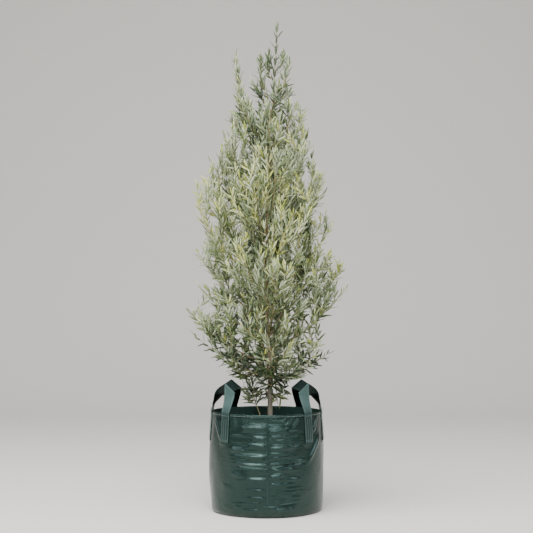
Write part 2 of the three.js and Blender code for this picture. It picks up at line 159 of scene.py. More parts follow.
def copied_faces(faces, points_each, copies):
    """The faces of one small shape, numbered on for each copy of its points."""
    return (faces[None] + (np.arange(copies) * points_each)[:, None, None]).reshape(-1, 3)


def set_out(name, pattern, places, turns):
    """One small shape at many places. Each turn's columns are where its X, Y and Z axes go."""
    base, faces = points_of(pattern), triangles_of(pattern)
    points = np.einsum("nij,kj->nki", turns, base) + places[:, None, :]
    piece = mesh_from(name, points.reshape(-1, 3), copied_faces(faces, len(base), len(places)))
    bpy.data.objects.remove(pattern)
    return piece


def mix(a, b, share):
    return a + (b - a) * share


def unit(vectors):
    return vectors / np.linalg.norm(vectors, axis=-1, keepdims=True)


# %% [markdown]
# ## The camera
# The photograph was taken from about 5.3 m away at waist height, with a long lens tipped up by 2 degrees,
# so the rim of the bag shows as a thin ellipse and the crown isn't foreshortened.

# %% Camera
CAMERA_PLACE = Vector((0.0, -5.263, 0.877))
TIPPED_UP = 1.98
SENSOR = 36.0
LENS_TO_SENSOR = 2.2514

take_up()
bpy.ops.object.camera_add(location=CAMERA_PLACE, rotation=(math.radians(90 + TIPPED_UP), 0, 0))
camera = bpy.context.object
camera.data.sensor_width = SENSOR
camera.data.lens = SENSOR * LENS_TO_SENSOR
bpy.context.scene.camera = camera
print("camera lens", round(camera.data.lens, 1), "mm")

# %% [markdown]
# ## Shared effects for the finishes
# Nothing that has stood outdoors is one even colour. Two effects are used again and again, so each is a node
# group: a mottle that gives a soft random value, and a plain weave that gives the height of crossing threads.
# The groups only put out values, and every material keeps its own shader.

# %% Colours and wiring
def srgb(red, green, blue):
    """A colour as a paint chart gives it, 0 to 255, turned into the linear values that shaders want."""
    share = [value / 255 for value in (red, green, blue)]
    return tuple(s / 12.92 if s <= 0.04045 else ((s + 0.055) / 1.055) ** 2.4 for s in share)


def wire(tree, kind, inputs, output=0, **settings):
    """A new node, its inputs fed by sockets or plain values. Returns one of its outputs."""
    node = tree.nodes.new("ShaderNode" + kind)
    for key, value in settings.items():
        setattr(node, key, value)
    for socket, value in inputs.items():
        if isinstance(value, bpy.types.NodeSocket):
            tree.links.new(value, node.inputs[socket])
        else:
            node.inputs[socket].default_value = value
    return node.outputs[output]


def calculate(tree, operation, *values, clamped=False):
    return wire(tree, "Math", dict(enumerate(values)), operation=operation, use_clamp=clamped)


def between_levels(tree, value, low, high, at_low=0.0, at_high=1.0):
    """Goes from one number to another while a value goes from low to high, and stays there beyond."""
    levels = {"Value": value, "From Min": low, "From Max": high, "To Min": at_low, "To Max": at_high}
    return wire(tree, "MapRange", levels)


def new_group(name, inputs, output):
    """A node group whose named inputs are a vector and numbers, and whose output is a number."""
    group = bpy.data.node_groups.new(name, "ShaderNodeTree")
    group.interface.new_socket("Vector", in_out="INPUT", socket_type="NodeSocketVector")
    for socket, value in inputs.items():
        number = group.interface.new_socket(socket, in_out="INPUT", socket_type="NodeSocketFloat")
        number.default_value = value
    group.interface.new_socket(output, in_out="OUTPUT", socket_type="NodeSocketFloat")
    return group, group.nodes.new("NodeGroupInput").outputs, group.nodes.new("NodeGroupOutput").inputs[output]


# %% The mottle
def make_mottle():
    group, given, out = new_group("Mottle", {"Scale": 40.0, "Contrast": 2.0}, "Value")
    inputs = {"Vector": given["Vector"], "Scale": given["Scale"], "Detail": 4, "Roughness": 0.6}
    centred = calculate(group, "SUBTRACT", wire(group, "TexNoise", inputs, "Fac"), 0.5)
    spread = calculate(group, "MULTIPLY", centred, given["Contrast"])
    group.links.new(calculate(group, "ADD", spread, 0.5, clamped=True), out)
    return group


# %% The weave
def make_weave():
    """Threads that pass over and under each other. The vector is measured in threads."""
    group, given, out = new_group("Weave", {}, "Height")
    ridges = []
    for axis in "XY":
        turn = calculate(group, "MULTIPLY", wire(group, "SeparateXYZ", {0: given["Vector"]}, axis), math.pi)
        ridges.append(calculate(group, "ABSOLUTE", calculate(group, "SINE", turn)))
    squares = {"Vector": given["Vector"], "Scale": 1.0, "Color1": (1, 1, 1, 1), "Color2": (0, 0, 0, 1)}
    over = wire(group, "TexChecker", squares, "Fac")
    warp = calculate(group, "MULTIPLY", ridges[0], over)
    weft = calculate(group, "MULTIPLY", ridges[1], calculate(group, "SUBTRACT", 1.0, over))
    group.links.new(calculate(group, "ADD", warp, weft), out)
    return group


mottle_group = make_mottle()
weave_group = make_weave()
print("node groups", mottle_group.name, weave_group.name)

# %% [markdown]
# A small class keeps the wiring of a finish readable: it starts a material, places the groups in it with
# their own values, mixes colours and adds bump. Many things here are just two colours in a mottle.

# %% A finish and its parts
class Finish:
    """One material while it is being wired."""

    def __init__(self, name, roughness, **constants):
        self.material = bpy.data.materials.new(name)
        self.material.use_nodes = True
        self.tree = self.material.node_tree
        self.shader = self.tree.nodes["Principled BSDF"]
        self.shader.inputs["Roughness"].default_value = roughness
        for socket, value in constants.items():
            self.shader.inputs[socket.replace("_", " ")].default_value = value
        self.coordinates = self.tree.nodes.new("ShaderNodeTexCoord").outputs

    def vector(self, source="Object", scale=(1, 1, 1)):
        return wire(self.tree, "Mapping", {"Vector": self.coordinates[source], "Scale": scale})

    def mottle(self, scale, contrast=2.0, stretch=(1, 1, 1)):
        inputs = {"Vector": self.vector(scale=stretch), "Scale": scale, "Contrast": contrast}
        return wire(self.tree, "Group", inputs, node_tree=mottle_group)

    def weave(self, across, along):
        """Threads of these widths in metres, laid out on the piece's UV map."""
        inputs = {"Vector": self.vector("UV", (1 / across, 1 / along, 1))}
        return wire(self.tree, "Group", inputs, node_tree=weave_group)

    def height_share(self, low, high):
        """0 below the low level and 1 above the high one, in metres."""
        height = wire(self.tree, "SeparateXYZ", {0: self.coordinates["Object"]}, "Z")
        return between_levels(self.tree, height, low, high)

    def times(self, first, second):
        return calculate(self.tree, "MULTIPLY", first, second)

    def mix(self, share, first, second):
        """Two colours mixed. Each is plain values or a socket."""
        first, second = ((*c, 1) if isinstance(c, tuple) else c for c in (first, second))
        return wire(self.tree, "Mix", {0: share, 6: first, 7: second}, 2, data_type="RGBA")

    def colour(self, output):
        self.tree.links.new(output, self.shader.inputs["Base Color"])

    def roughness(self, value, low, high):
        rough = between_levels(self.tree, value, 0, 1, low, high)
        self.tree.links.new(rough, self.shader.inputs["Roughness"])

    def bump(self, height, distance):
        """Adds relief in metres, on top of any relief already there."""
        inputs = {"Height": height, "Distance": distance, "Strength": 1.0}
        normal = self.shader.inputs["Normal"]
        if normal.is_linked:
            inputs["Normal"] = normal.links[0].from_socket
        self.tree.links.new(wire(self.tree, "Bump", inputs), normal)


def two_colours(name, roughness, dark, light, scale, contrast=2.0, relief=0.0, **constants):
    """A finish of two colours in a mottle, whose pale spots may also stand out, in metres."""
    finish = Finish(name, roughness, **constants)
    spots = finish.mottle(scale, contrast)
    finish.colour(finish.mix(spots, dark, light))
    if relief:
        finish.bump(spots, relief)
    return finish


# %% [markdown]
# ## The studio
# A pale sweep of floor that curves up behind the plant hides the join between floor and wall. The light is
# that of a bright cloudy day. A soft box overhead lights the crown from the left. Three wide low ones, in
# front and at both sides, are what shines in the bag's folds where they face up a little. The world is pale
# above and dim at the horizon, so the upright parts of the bag stay dark, as they do outdoors.

# %% Floor and soft boxes
SWEEP_WIDTH = 14.0
SWEEP_FRONT = -9.0
SWEEP_BACK = 4.6
SWEEP_CURVE = 2.0
SWEEP_STEPS = 12
SWEEP_TOP = 7.0
PAPER = (0.74, 0.71, 0.67)
CLOUD_WHITE = (0.93, 0.97, 1.0)


def make_sweep():
    take_up()
    middle = (SWEEP_FRONT + SWEEP_BACK) / 2
    bpy.ops.mesh.primitive_plane_add(size=1, location=(0, middle, 0))
    sweep = bpy.context.object
    sweep.scale = (SWEEP_WIDTH, SWEEP_BACK - SWEEP_FRONT, 1)
    bpy.ops.object.transform_apply(scale=True, location=True)
    bpy.ops.object.mode_set(mode="EDIT")
    bpy.ops.mesh.select_all(action="DESELECT")
    bpy.ops.object.mode_set(mode="OBJECT")
    for edge in sweep.data.edges:
        edge.select = all(sweep.data.vertices[i].co.y > SWEEP_BACK - 0.01 for i in edge.vertices)
    bpy.ops.object.mode_set(mode="EDIT")
    bpy.ops.mesh.select_mode(type="EDGE")
    step = math.pi / 2 / SWEEP_STEPS
    for i in range(SWEEP_STEPS):
        along = SWEEP_CURVE * (math.sin((i + 1) * step) - math.sin(i * step))
        up = SWEEP_CURVE * (math.cos(i * step) - math.cos((i + 1) * step))
        bpy.ops.mesh.extrude_region_move(TRANSFORM_OT_translate={"value": (0, along, up)})
    bpy.ops.mesh.extrude_region_move(TRANSFORM_OT_translate={"value": (0, 0, SWEEP_TOP - SWEEP_CURVE)})
    bpy.ops.object.mode_set(mode="OBJECT")
    bpy.ops.object.shade_smooth()
    sweep.name = "floor"
    sweep.data.materials.append(Finish("floor_paper", 0.8, Base_Color=(*PAPER, 1)).material)


def soft_box(name, place, aim, size, power, colour):
    take_up()
    bpy.ops.object.light_add(type="AREA", location=place)
    box = bpy.context.object
    box.name = name
    box.rotation_euler = (Vector(aim) - Vector(place)).to_track_quat("-Z", "Y").to_euler()
    box.data.shape = "RECTANGLE"
    box.data.size, box.data.size_y = size
    box.data.energy = power
    box.data.color = colour
    box.visible_camera = False


make_sweep()
soft_box("box_overhead", (-0.8, -2.0, 4.8), (0, 0, 1.0), (3.6, 3.6), 420, (0.98, 0.98, 0.95))
soft_box("box_front", (0.0, -5.8, 2.7), (0, 0, 0.4), (6.4, 1.8), 225, CLOUD_WHITE)
soft_box("box_left", (-5.4, -1.8, 2.6), (0, 0, 0.4), (4.0, 1.5), 88, (0.95, 0.98, 1.0))
soft_box("box_right", (5.4, -1.8, 2.6), (0, 0, 0.4), (4.0, 1.5), 80, CLOUD_WHITE)

# %% The sky
SKY_LOW, SKY_HIGH = 0.10, 0.34
SKY_DIM, SKY_BRIGHT = 0.08, 0.62
SEEN_BEHIND = 0.62


def cloudy_sky():
    """Bright above and dim at the horizon, so tilted folds shine and upright ones don't. Seen, it is pale."""
    world = bpy.data.worlds.new("cloudy_sky")
    world.use_nodes = True
    tree = world.node_tree
    direction = tree.nodes.new("ShaderNodeTexCoord").outputs["Generated"]
    up = wire(tree, "SeparateXYZ", {0: direction}, "Z")
    light = between_levels(tree, up, SKY_LOW, SKY_HIGH, SKY_DIM, SKY_BRIGHT)
    seen = wire(tree, "LightPath", {}, "Is Camera Ray")
    background = tree.nodes["Background"]
    background.inputs["Color"].default_value = (*CLOUD_WHITE, 1)
    tree.links.new(calculate(tree, "MULTIPLY_ADD", seen, SEEN_BEHIND, light), background.inputs["Strength"])
    return world


bpy.context.scene.world = cloudy_sky()
print("sky from", SKY_DIM, "at the horizon to", SKY_BRIGHT)

# %% [markdown]
# ## The planter bag
# The real bag is coated tape fabric: flat plastic tapes woven, then sealed with a glossy film. It is sewn
# from one length with a lapped seam down the front and another down the back, onto a round base, and
# its rim is folded over and stitched. Damp soil fills it, so its wall is taut and round, but the fabric
# is creased: the seams are tighter than the wall, so short folds run out level from them to both sides.
#
# It could be simulated as cloth round a filling, but the folds would fall where the simulation likes. Here
# the wall is extruded ring by ring from its round base, as a potter raises a pot, and the folds are then
# pressed into it one at a time, each with its own place, length, tilt and height.

# %% The bag's measures
BAG_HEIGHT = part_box("planter_bag")[1].z
RIM_RADIUS = 0.239
BELLY_RADIUS = 0.250
FOOT_RADIUS = 0.224
FOOT_ROUNDING = 0.024
WALL = 0.0022
HEM_LOW = BAG_HEIGHT - 0.0115
HEM_FOLD = 0.0014
HEM_ROUNDING = 0.001
BAG_SIDES = 400
RING_STEP = 0.0027
LINING_STEP = 0.014
FOOT_EDGE = 0.006
FOOT_RINGS = 6
LOWEST_RING = 0.0005
HEM_RINGS = 4
HEM_STEPS_OUT = 0.0006
HEM_FULL = 0.003


def bag_radius(height):
    """The wall's radius: rounded at the foot, fullest at the belly and drawn in to the hem."""
    foot = FOOT_RADIUS + FOOT_ROUNDING * 0.75
    share = np.clip(1 - height / FOOT_ROUNDING, 0, 1)
    rounded = FOOT_RADIUS + (foot - FOOT_RADIUS) * np.sqrt(1 - share**2)
    up = np.clip((height - FOOT_ROUNDING) / (BAG_HEIGHT - FOOT_ROUNDING), 0, 1)
    swell = BELLY_RADIUS - (foot + RIM_RADIUS) / 2
    wall = foot + (RIM_RADIUS - foot) * up + swell * np.sin(np.pi * up)
    return float(np.where(height < FOOT_ROUNDING, rounded, wall))


def bag_rings():
    """Radius and height of each ring, up the outside, over the hem and down the inside."""
    rings = [(FOOT_RADIUS - FOOT_EDGE, 0.0)]
    rings += [(bag_radius(z), z) for z in np.linspace(LOWEST_RING, FOOT_ROUNDING, FOOT_RINGS)]
    rings += [(bag_radius(z), z) for z in np.arange(FOOT_ROUNDING + RING_STEP, HEM_LOW, RING_STEP)]
    rings += [(bag_radius(HEM_LOW), HEM_LOW), (bag_radius(HEM_LOW) + HEM_FOLD, HEM_LOW + HEM_STEPS_OUT)]
    hem = np.linspace(HEM_LOW + HEM_FULL, BAG_HEIGHT - HEM_ROUNDING, HEM_RINGS)
    rings += [(bag_radius(z) + HEM_FOLD, z) for z in hem]
    rings += [(RIM_RADIUS + HEM_FOLD - HEM_ROUNDING, BAG_HEIGHT)]
    rings += [(RIM_RADIUS - WALL + HEM_ROUNDING, BAG_HEIGHT), (RIM_RADIUS - WALL, BAG_HEIGHT - HEM_ROUNDING)]
    rings += [(bag_radius(z) - WALL, z) for z in np.arange(HEM_LOW, FOOT_ROUNDING, -LINING_STEP)]
    return rings + [(FOOT_RADIUS - 2 * FOOT_EDGE, WALL)]


# %% Raise the wall
def raise_wall(rings, sides):
    """A filled circle, extruded to each ring in turn and resized to it."""
    take_up()
    radius, height = rings[0]
    bpy.ops.mesh.primitive_circle_add(vertices=sides, radius=radius, fill_type="NGON")
    piece = bpy.context.object
    piece.location.z = height
    bpy.ops.object.transform_apply(location=True)
    bpy.ops.object.mode_set(mode="EDIT")
    bpy.ops.mesh.select_all(action="SELECT")
    for (r0, z0), (r1, z1) in zip(rings, rings[1:]):
        bpy.ops.mesh.extrude_region_move(TRANSFORM_OT_translate={"value": (0, 0, z1 - z0)})
        bpy.ops.transform.resize(value=(r1 / r0, r1 / r0, 1))
    face_outward()
    return piece


bag = raise_wall(bag_rings(), BAG_SIDES)
print("bag wall", len(bag.data.vertices), "points")

# %% [markdown]
# The folds are listed as seen from the front: how far from the seam each starts and ends, how high it starts
# and ends, how far it stands out and how wide it is. A groove has a negative height. The strong groove
# half way up is where the bag was folded flat for storage. More, smaller puckers are scattered down both
# seams, and slow swells keep the round wall from looking machined.

# %% The folds of the wall
SEAMS = {"front": -90.0, "back": 90.0}
SEAM_SHIFT = 0.0015
SEAM_SLANT = 0.0105
FRONT_FOLDS = [
    # from, to, height at each, stands out, half width, all in millimetres
    (-112, -6, 371, 375, 5.4, 12.5),
    (-66, -3, 333, 328, 4.4, 9.5),
    (-165, -95, 284, 280, 3.6, 9),
    (-88, -3, 258, 243, 3.3, 9),
    (-135, -3, 226, 219, 3.6, 5),
    (-135, -3, 217, 210, -3.0, 4),
    (-86, -4, 310, 301, 3.6, 8),
    (-74, -14, 206, 209, 2.4, 7),
    (-84, -6, 165, 160, 2.8, 6),
    (-88, -34, 150, 145, 2.0, 6),
    (-165, -88, 186, 171, 2.4, 9),
    (-158, -120, 48, 43, 2.2, 7),
    (-34, 28, 48, 44, 2.2, 6),
    (7, 92, 361, 371, 5.8, 12.5),
    (10, 74, 334, 340, 4.4, 9.5),
    (14, 120, 288, 299, 5.4, 11),
    (8, 92, 268, 271, 3.4, 7.5),
    (4, 168, 224, 238, 3.8, 5),
    (4, 168, 215, 229, -3.0, 4),
    (14, 116, 201, 204, 3.0, 7),
    (5, 68, 172, 182, 3.0, 6),
    (8, 146, 164, 160, 3.0, 7),
    (4, 82, 144, 137, 2.4, 7),
    (13, 110, 102, 98, 2.0, 6),
    (13, 80, 81, 77, 2.0, 6),
    (-100, -20, 116, 118, 1.8, 6),
    (-90, -20, 86, 84, 1.6, 6),
    (132, 82, 428, 384, 3.2, 5),
    (152, 112, 420, 374, 3.0, 5),
    (106, 66, 428, 398, 2.4, 5),
    (-120, -74, 430, 392, 2.8, 5),
    (-100, -56, 430, 404, 2.2, 5),
    (-158, -138, 420, 384, 2.2, 5),
    (-280, -232, 412, 320, 4.2, 9),
    (290, 186, 344, 224, 4.2, 9),
    (276, 232, 418, 350, 3.4, 7),
    (-230, -150, 128, 112, 1.1, 14),
    (150, 236, 96, 112, 1.1, 14),
    (-120, -40, 30, 36, 2.4, 6),
    (20, 110, 32, 38, 2.4, 6),
    (150, 210, 40, 34, 1.0, 9),
    (-230, -160, 42, 34, 1.0, 9),
]
FOLDS = {"front": FRONT_FOLDS, "back": [(-start, -end, *rest) for start, end, *rest in FRONT_FOLDS]}
FOLD_GAIN = 1.3
FADES_TO_ENDS = 2.6
LEFT_AT_ENDS = 0.25
SEAM_GROOVE = 0.0018
SEAM_GROOVE_HALF = 0.006
FOLD_REACH = 0.3
PUCKERS = 84
PUCKER_REACH = (30, 170)
PUCKER_HEIGHTS = (18, 400)
PUCKER_RISE = (0.6, 1.7)
PUCKER_HALF = (3.6, 6)
STANDS_OUT = 0.75
PUCKER_SEEDS = {"front": 7, "back": 8}
HELD_AT_ENDS = 0.02
HELD_BY_HEM = 0.35
PRESSED_HALF = 0.036
PRESSED_EDGE = 0.010
PRESSED_LOW = 0.290
PRESSED_RISE = 0.015
SWELLS = [(3, 1, 0.4, 2.2), (5, 2, 1.7, 1.6), (8, 1, 2.9, 1.0), (11, 3, 0.9, 0.8), (17, 4, 4.1, 0.5)]


# %% How far the wall moves
def press_fold(arc, height, fold):
    """How far one fold moves each point outwards, in metres."""
    s0, s1, z0, z1, rise, half = [value * MM for value in fold]
    length = math.hypot(s1 - s0, z1 - z0)
    ux, uz = (s1 - s0) / length, (z1 - z0) / length
    along = ((arc - s0) * ux + (height - z0) * uz) / length
    across = (height - z0) * ux - (arc - s0) * uz
    ends = np.clip(np.minimum(along, 1 - along) * FADES_TO_ENDS + LEFT_AT_ENDS, 0, 1)
    faded = ends * ends * (3 - 2 * ends)
    return FOLD_GAIN * rise * faded * np.exp(-((across / half) ** 2))


def scattered_puckers(seed):
    """Short level folds that run out from a seam, alternately to its left and right."""
    chance = np.random.default_rng(seed)
    folds = []
    for i in range(PUCKERS):
        side = 1 if i % 2 else -1
        start = chance.uniform(1, 10)
        reach = start + chance.uniform(*PUCKER_REACH)
        height = chance.uniform(*PUCKER_HEIGHTS)
        tilt = chance.normal(0, 5)
        rise = chance.uniform(*PUCKER_RISE) * (1 if chance.random() < STANDS_OUT else -1)
        folds.append((side * start, side * reach, height, height + tilt, rise, chance.uniform(*PUCKER_HALF)))
    return folds


def seam_turn(degrees, height):
    """Where a seam runs at a height. It slants a little, as the bag stands."""
    return math.radians(degrees) + (SEAM_SHIFT + SEAM_SLANT * (1 - height / BAG_HEIGHT)) / BELLY_RADIUS


def arc_from(turn, middle):
    """How far round the wall a turn is from another, in metres, positive or negative."""
    return np.angle(np.exp(1j * (turn - middle))) * BELLY_RADIUS


def wall_moves(turn, height, webbing_turns):
    """How far the wall stands out from its plain round form at each point."""
    moved = np.zeros_like(turn)
    for waves, levels, phase, size in SWELLS:
        round_it = np.sin(waves * turn + phase)
        moved += size * MM * round_it * np.sin(levels * math.pi * height / BAG_HEIGHT + phase)
    for name, degrees in SEAMS.items():
        arc = arc_from(turn, seam_turn(degrees, height))
        near = np.abs(arc) < FOLD_REACH
        for fold in scattered_puckers(PUCKER_SEEDS[name]) + FOLDS[name]:
            moved[near] += press_fold(arc[near], height[near], fold)
        moved -= SEAM_GROOVE * np.exp(-((arc / SEAM_GROOVE_HALF) ** 2))
    for degrees in webbing_turns:
        covered = np.clip((PRESSED_HALF - np.abs(arc_from(turn, math.radians(degrees)))) / PRESSED_EDGE, 0, 1)
        moved *= 1 - covered * np.clip((height - PRESSED_LOW) / PRESSED_RISE, 0, 1)
    hem = np.clip((HEM_LOW - height) / HELD_AT_ENDS, HELD_BY_HEM, 1)
    return moved * hem * np.clip(height / HELD_AT_ENDS, 0, 1)


# %% [markdown]
# The handles are measured here too, because the wall lies flat under their sewn ends. Each is one length of
# webbing: up the wall from a stitched patch, over a diagonal fold above the rim, and down to the next patch.

# %% Press the folds in
HANDLES = {
    "handle_front_right": (-43, -7),
    "handle_back_right": (10, 51),
    "handle_front_left": (-136, -173),
    "handle_back_left": (170, 129),
}
webbing_turns = [degrees for pair in HANDLES.values() for degrees in pair]


def press_folds(piece):
    points = points_of(piece)
    turn = np.arctan2(points[:, 1], points[:, 0])
    radius = np.hypot(points[:, 0], points[:, 1])
    moved = wall_moves(turn, points[:, 2], webbing_turns)
    moved = np.where(radius > FOOT_RADIUS - 1.5 * FOOT_EDGE, moved, 0)
    points[:, :2] *= (1 + moved / radius)[:, None]
    put_points(piece, points)
    return moved


moved = press_folds(bag)
print("folds stand out by", round(moved.min() / MM, 1), "to", round(moved.max() / MM, 1), "mm")

# %% [markdown]
# The fabric's finish follows the wall, so the bag gets a UV map in metres: round the wall, and up it. The
# tapes are about 2.5 mm wide and their relief is faint under the film. The film is glossy where it is
# clean and duller where it is worn. Rubbed places are a little paler, and dust clings near the ground.
# Brownish patches in the green are a painted reflection of brown gravel, and a dark line beside each seam
# is painted shade. The inside of the wall, from its foot up, is the bare back of the fabric; its paler green
# is partly that and partly a painted sheen.

# %% A map round the wall
def map_round(piece, radius):
    layer = piece.data.uv_layers.new(name="round")
    points = points_of(piece)
    turn = np.arctan2(points[:, 1], points[:, 0])
    for face in piece.data.polygons:
        first = turn[face.vertices[0]]
        for loop, vertex in zip(face.loop_indices, face.vertices):
            whole = round((turn[vertex] - first) / math.tau)
            layer.data[loop].uv = ((turn[vertex] - whole * math.tau) * radius, points[vertex, 2])


map_round(bag, BELLY_RADIUS)

# %% The bag's finish
TAPE = 0.0025
FILM_TINT = (0.62, 0.95, 0.92, 1.0)
TAPE_RELIEF = 0.00005
SEAM_SHADOW = (0.0018, 0.0042)
SHADOW_BESIDE = 0.0012
DUST_TOP = 0.06
LOOKS_IN = -0.3


def seam_shadow(finish):
    """Painted shade: a dark line beside the edge of the front or back seam, where its lapped edge casts a
    shadow.
    """
    tree = finish.tree
    around, height = (wire(tree, "SeparateXYZ", {0: finish.coordinates["UV"]}, axis) for axis in "XY")
    at_foot = SEAM_SHIFT + SEAM_SLANT + math.radians(SEAMS["front"]) * BELLY_RADIUS
    line = calculate(tree, "ADD", finish.times(height, -SEAM_SLANT / BAG_HEIGHT), at_foot)
    half_round = math.pi * BELLY_RADIUS
    off = calculate(tree, "SUBTRACT", around, line)
    wrapped = calculate(tree, "WRAP", off, half_round / 2, -half_round / 2)
    beside = calculate(tree, "ABSOLUTE", calculate(tree, "SUBTRACT", wrapped, SHADOW_BESIDE))
    return between_levels(tree, beside, *reversed(SEAM_SHADOW))


def make_bag_finish():
    finish = Finish("coated_tape_fabric", 0.3, Specular_IOR_Level=0.5, Specular_Tint=FILM_TINT)
    green = finish.mix(finish.mottle(11.0, 2.6, (1, 1, 2.4)), srgb(6, 20, 14), srgb(9, 29, 23))
    # Brownish patches: a painted reflection of brown gravel round the bag.
    gravel_reflection_share = finish.times(finish.mottle(16.0, 3.4, (1, 1, 3.0)), 0.35)
    rubbed = finish.times(finish.mottle(120.0, 1.8, (1, 1, 2.5)), 0.08)
    near_ground = finish.height_share(DUST_TOP, 0.0)
    dust = finish.times(finish.times(near_ground, finish.mottle(40.0, 3.0)), 0.12)
    with_gravel_reflection = finish.mix(gravel_reflection_share, green, srgb(16, 22, 14))
    worn = finish.mix(rubbed, with_gravel_reflection, srgb(34, 56, 50))
    dusty = finish.mix(dust, worn, srgb(96, 86, 70))
    # A dark line of painted shade beside each seam.
    finish.colour(finish.mix(finish.times(seam_shadow(finish), 0.95), dusty, srgb(2, 6, 5)))
    finish.roughness(finish.mottle(22.0, 2.4), 0.17, 0.30)
    finish.bump(finish.weave(TAPE, TAPE), TAPE_RELIEF)
    finish.bump(finish.mottle(55.0, 1.2, (1, 1, 3)), 0.0007)
    return finish.material


def make_lining_finish():
    """The inside of the wall, which has no gloss. Its green, paler than the outside's, is partly the fabric's
    bare back and partly a painted sheen.
    """
    # The paler green is partly the fabric's back and partly painted sheen.
    finish = two_colours("bag_lining", 0.5, srgb(28, 56, 50), srgb(40, 74, 66), 18.0)
    finish.bump(finish.weave(TAPE, TAPE), TAPE_RELIEF)
    return finish.material


bag_finish = make_bag_finish()
take_up(bag)
smooth(50)
set_down(bag, "bag", bag_finish, ["planter_bag"])
bag.data.materials.append(make_lining_finish())
for face in bag.data.polygons:
    away = Vector((face.center.x, face.center.y, 0)).normalized()
    face.material_index = int(face.normal.dot(away) < LOOKS_IN and face.center.z > FOOT_ROUNDING)

# %% [markdown]
# ## The webbing handles
# Each handle stands on two sewn legs. The leg nearer the front or back rises straight. Then the band is
# folded over on a diagonal crease, as one folds a strip of paper, and from behind the crease it bends down
# and turns until it lies flat on the side of the bag. So near the top its inner face shows.
#
# A grid is the natural start: it has one row of faces per short length of band. Its points are moved on to
# the band's way, and Solidify gives it its thickness. At the crease a row lies along the diagonal.

# %% The band's measures
STRAP_WIDTH = 0.050
STRAP_THICKNESS = 0.0018
PATCH_LOW = 0.305
LOOP_FOOT = BAG_HEIGHT + 0.004
BAND_LIFT = 0.0016
BAND_EASES_OUT = 0.004
CREASE_HEIGHT = 0.535
CREASE_LEAN = 0.026
CREASE_SLOPE = 0.8
CREASE_TURN = 15
CREASE_FROM = 0.35
LEG_BOW = 0.006
FOLD_RADIUS = 0.0016
LEAVES_CREASE = 0.048
ARRIVES = 0.060
BULGES = 0.032
SETTLES = 0.28
LEVELS_OUT = 6
TURNS_LATE = 1.2
SEWN_STEPS = 20
LEG_STEPS = 16
FOLD_STEPS = 6
SIDE_STEPS = 52
BAND_ACROSS = 10
UP = Vector((0, 0, 1))


def ease(share):
    return share * share * (3 - 2 * share)


def outward(turn):
    return Vector((math.cos(turn), math.sin(turn), 0))


def sideways(turn):
    return Vector((-math.sin(turn), math.cos(turn), 0))


def on_wall(turn, height, lift=BAND_LIFT):
    skin = bag_radius(min(height, HEM_LOW))
    hem = HEM_FOLD * min(1, max(0, (height - HEM_LOW + BAND_EASES_OUT) / BAND_EASES_OUT))
    point = outward(turn) * (skin + hem + lift)
    point.z = height
    return point


# %% The band's way
def sewn_rows(turn, across, heights):
    return [(on_wall(turn, z), across, turn) for z in heights]


def leg_rows(foot, crease, across, lean, sense):
    """Up the straight leg. The last rows slope more and more, up to the diagonal of the crease."""
    rows = []
    for i in range(1, LEG_STEPS + 1):
        k = i / LEG_STEPS
        turned = Matrix.Rotation(sense * math.radians(CREASE_TURN) * ease(k), 3, "Z") @ across
        slope = CREASE_SLOPE * ease(max(0, (k - CREASE_FROM) / (1 - CREASE_FROM)))
        middle = foot.lerp(crease, k) - lean * LEG_BOW * math.sin(math.pi * k)
        rows.append((middle, turned - UP * slope, None))
    return rows


def fold_rows(crease, across, face):
    """Round the fold: the rows lie along the crease, on a half circle."""
    beyond = face.cross(across).normalized()
    beyond = beyond if beyond.z > 0 else -beyond
    rows = []
    for i in range(1, FOLD_STEPS + 1):
        turn = math.pi * i / FOLD_STEPS
        move = beyond * math.sin(turn) - face * (1 - math.cos(turn))
        rows.append((crease + move * FOLD_RADIUS, across, None))
    return rows


def side_rows(start, first, end, crease_across, face_turn, last_turn, sense):
    """From behind the crease down to the side of the bag, while the band's inner face turns to the bag.

    Past half its way the band lies nearly level from edge to edge, so it isn't seen edge-on too early.
    """
    a, b, d = start, start + first * LEAVES_CREASE, end
    c = end + UP * ARRIVES - outward(last_turn) * BULGES
    swing = sense * ((sense * (last_turn + math.pi - face_turn)) % math.tau)
    rows = []
    for i in range(1, SIDE_STEPS):
        k = i / SIDE_STEPS
        point = a * (1 - k) ** 3 + b * (3 * k * (1 - k) ** 2) + c * (3 * k * k * (1 - k)) + d * k**3
        along = ((b - a) * (1 - k) ** 2 + (c - b) * (2 * k * (1 - k)) + (d - c) * k**2).normalized()
        inner = outward(face_turn + swing * ease(k**TURNS_LATE))
        turned = (inner.cross(along) * sense).normalized()
        level = Vector((along.y, -along.x, 0)).normalized()
        level = level if level.dot(turned) > 0 else -level
        lies_level = max(0, LEVELS_OUT * (k - 0.5) * (1 - k))
        across = (turned * (1 - lies_level) + level * lies_level).normalized()
        near = ease(max(0, 1 - k / SETTLES))
        rows.append((point, across * (1 - near) + crease_across * near, None))
    return rows


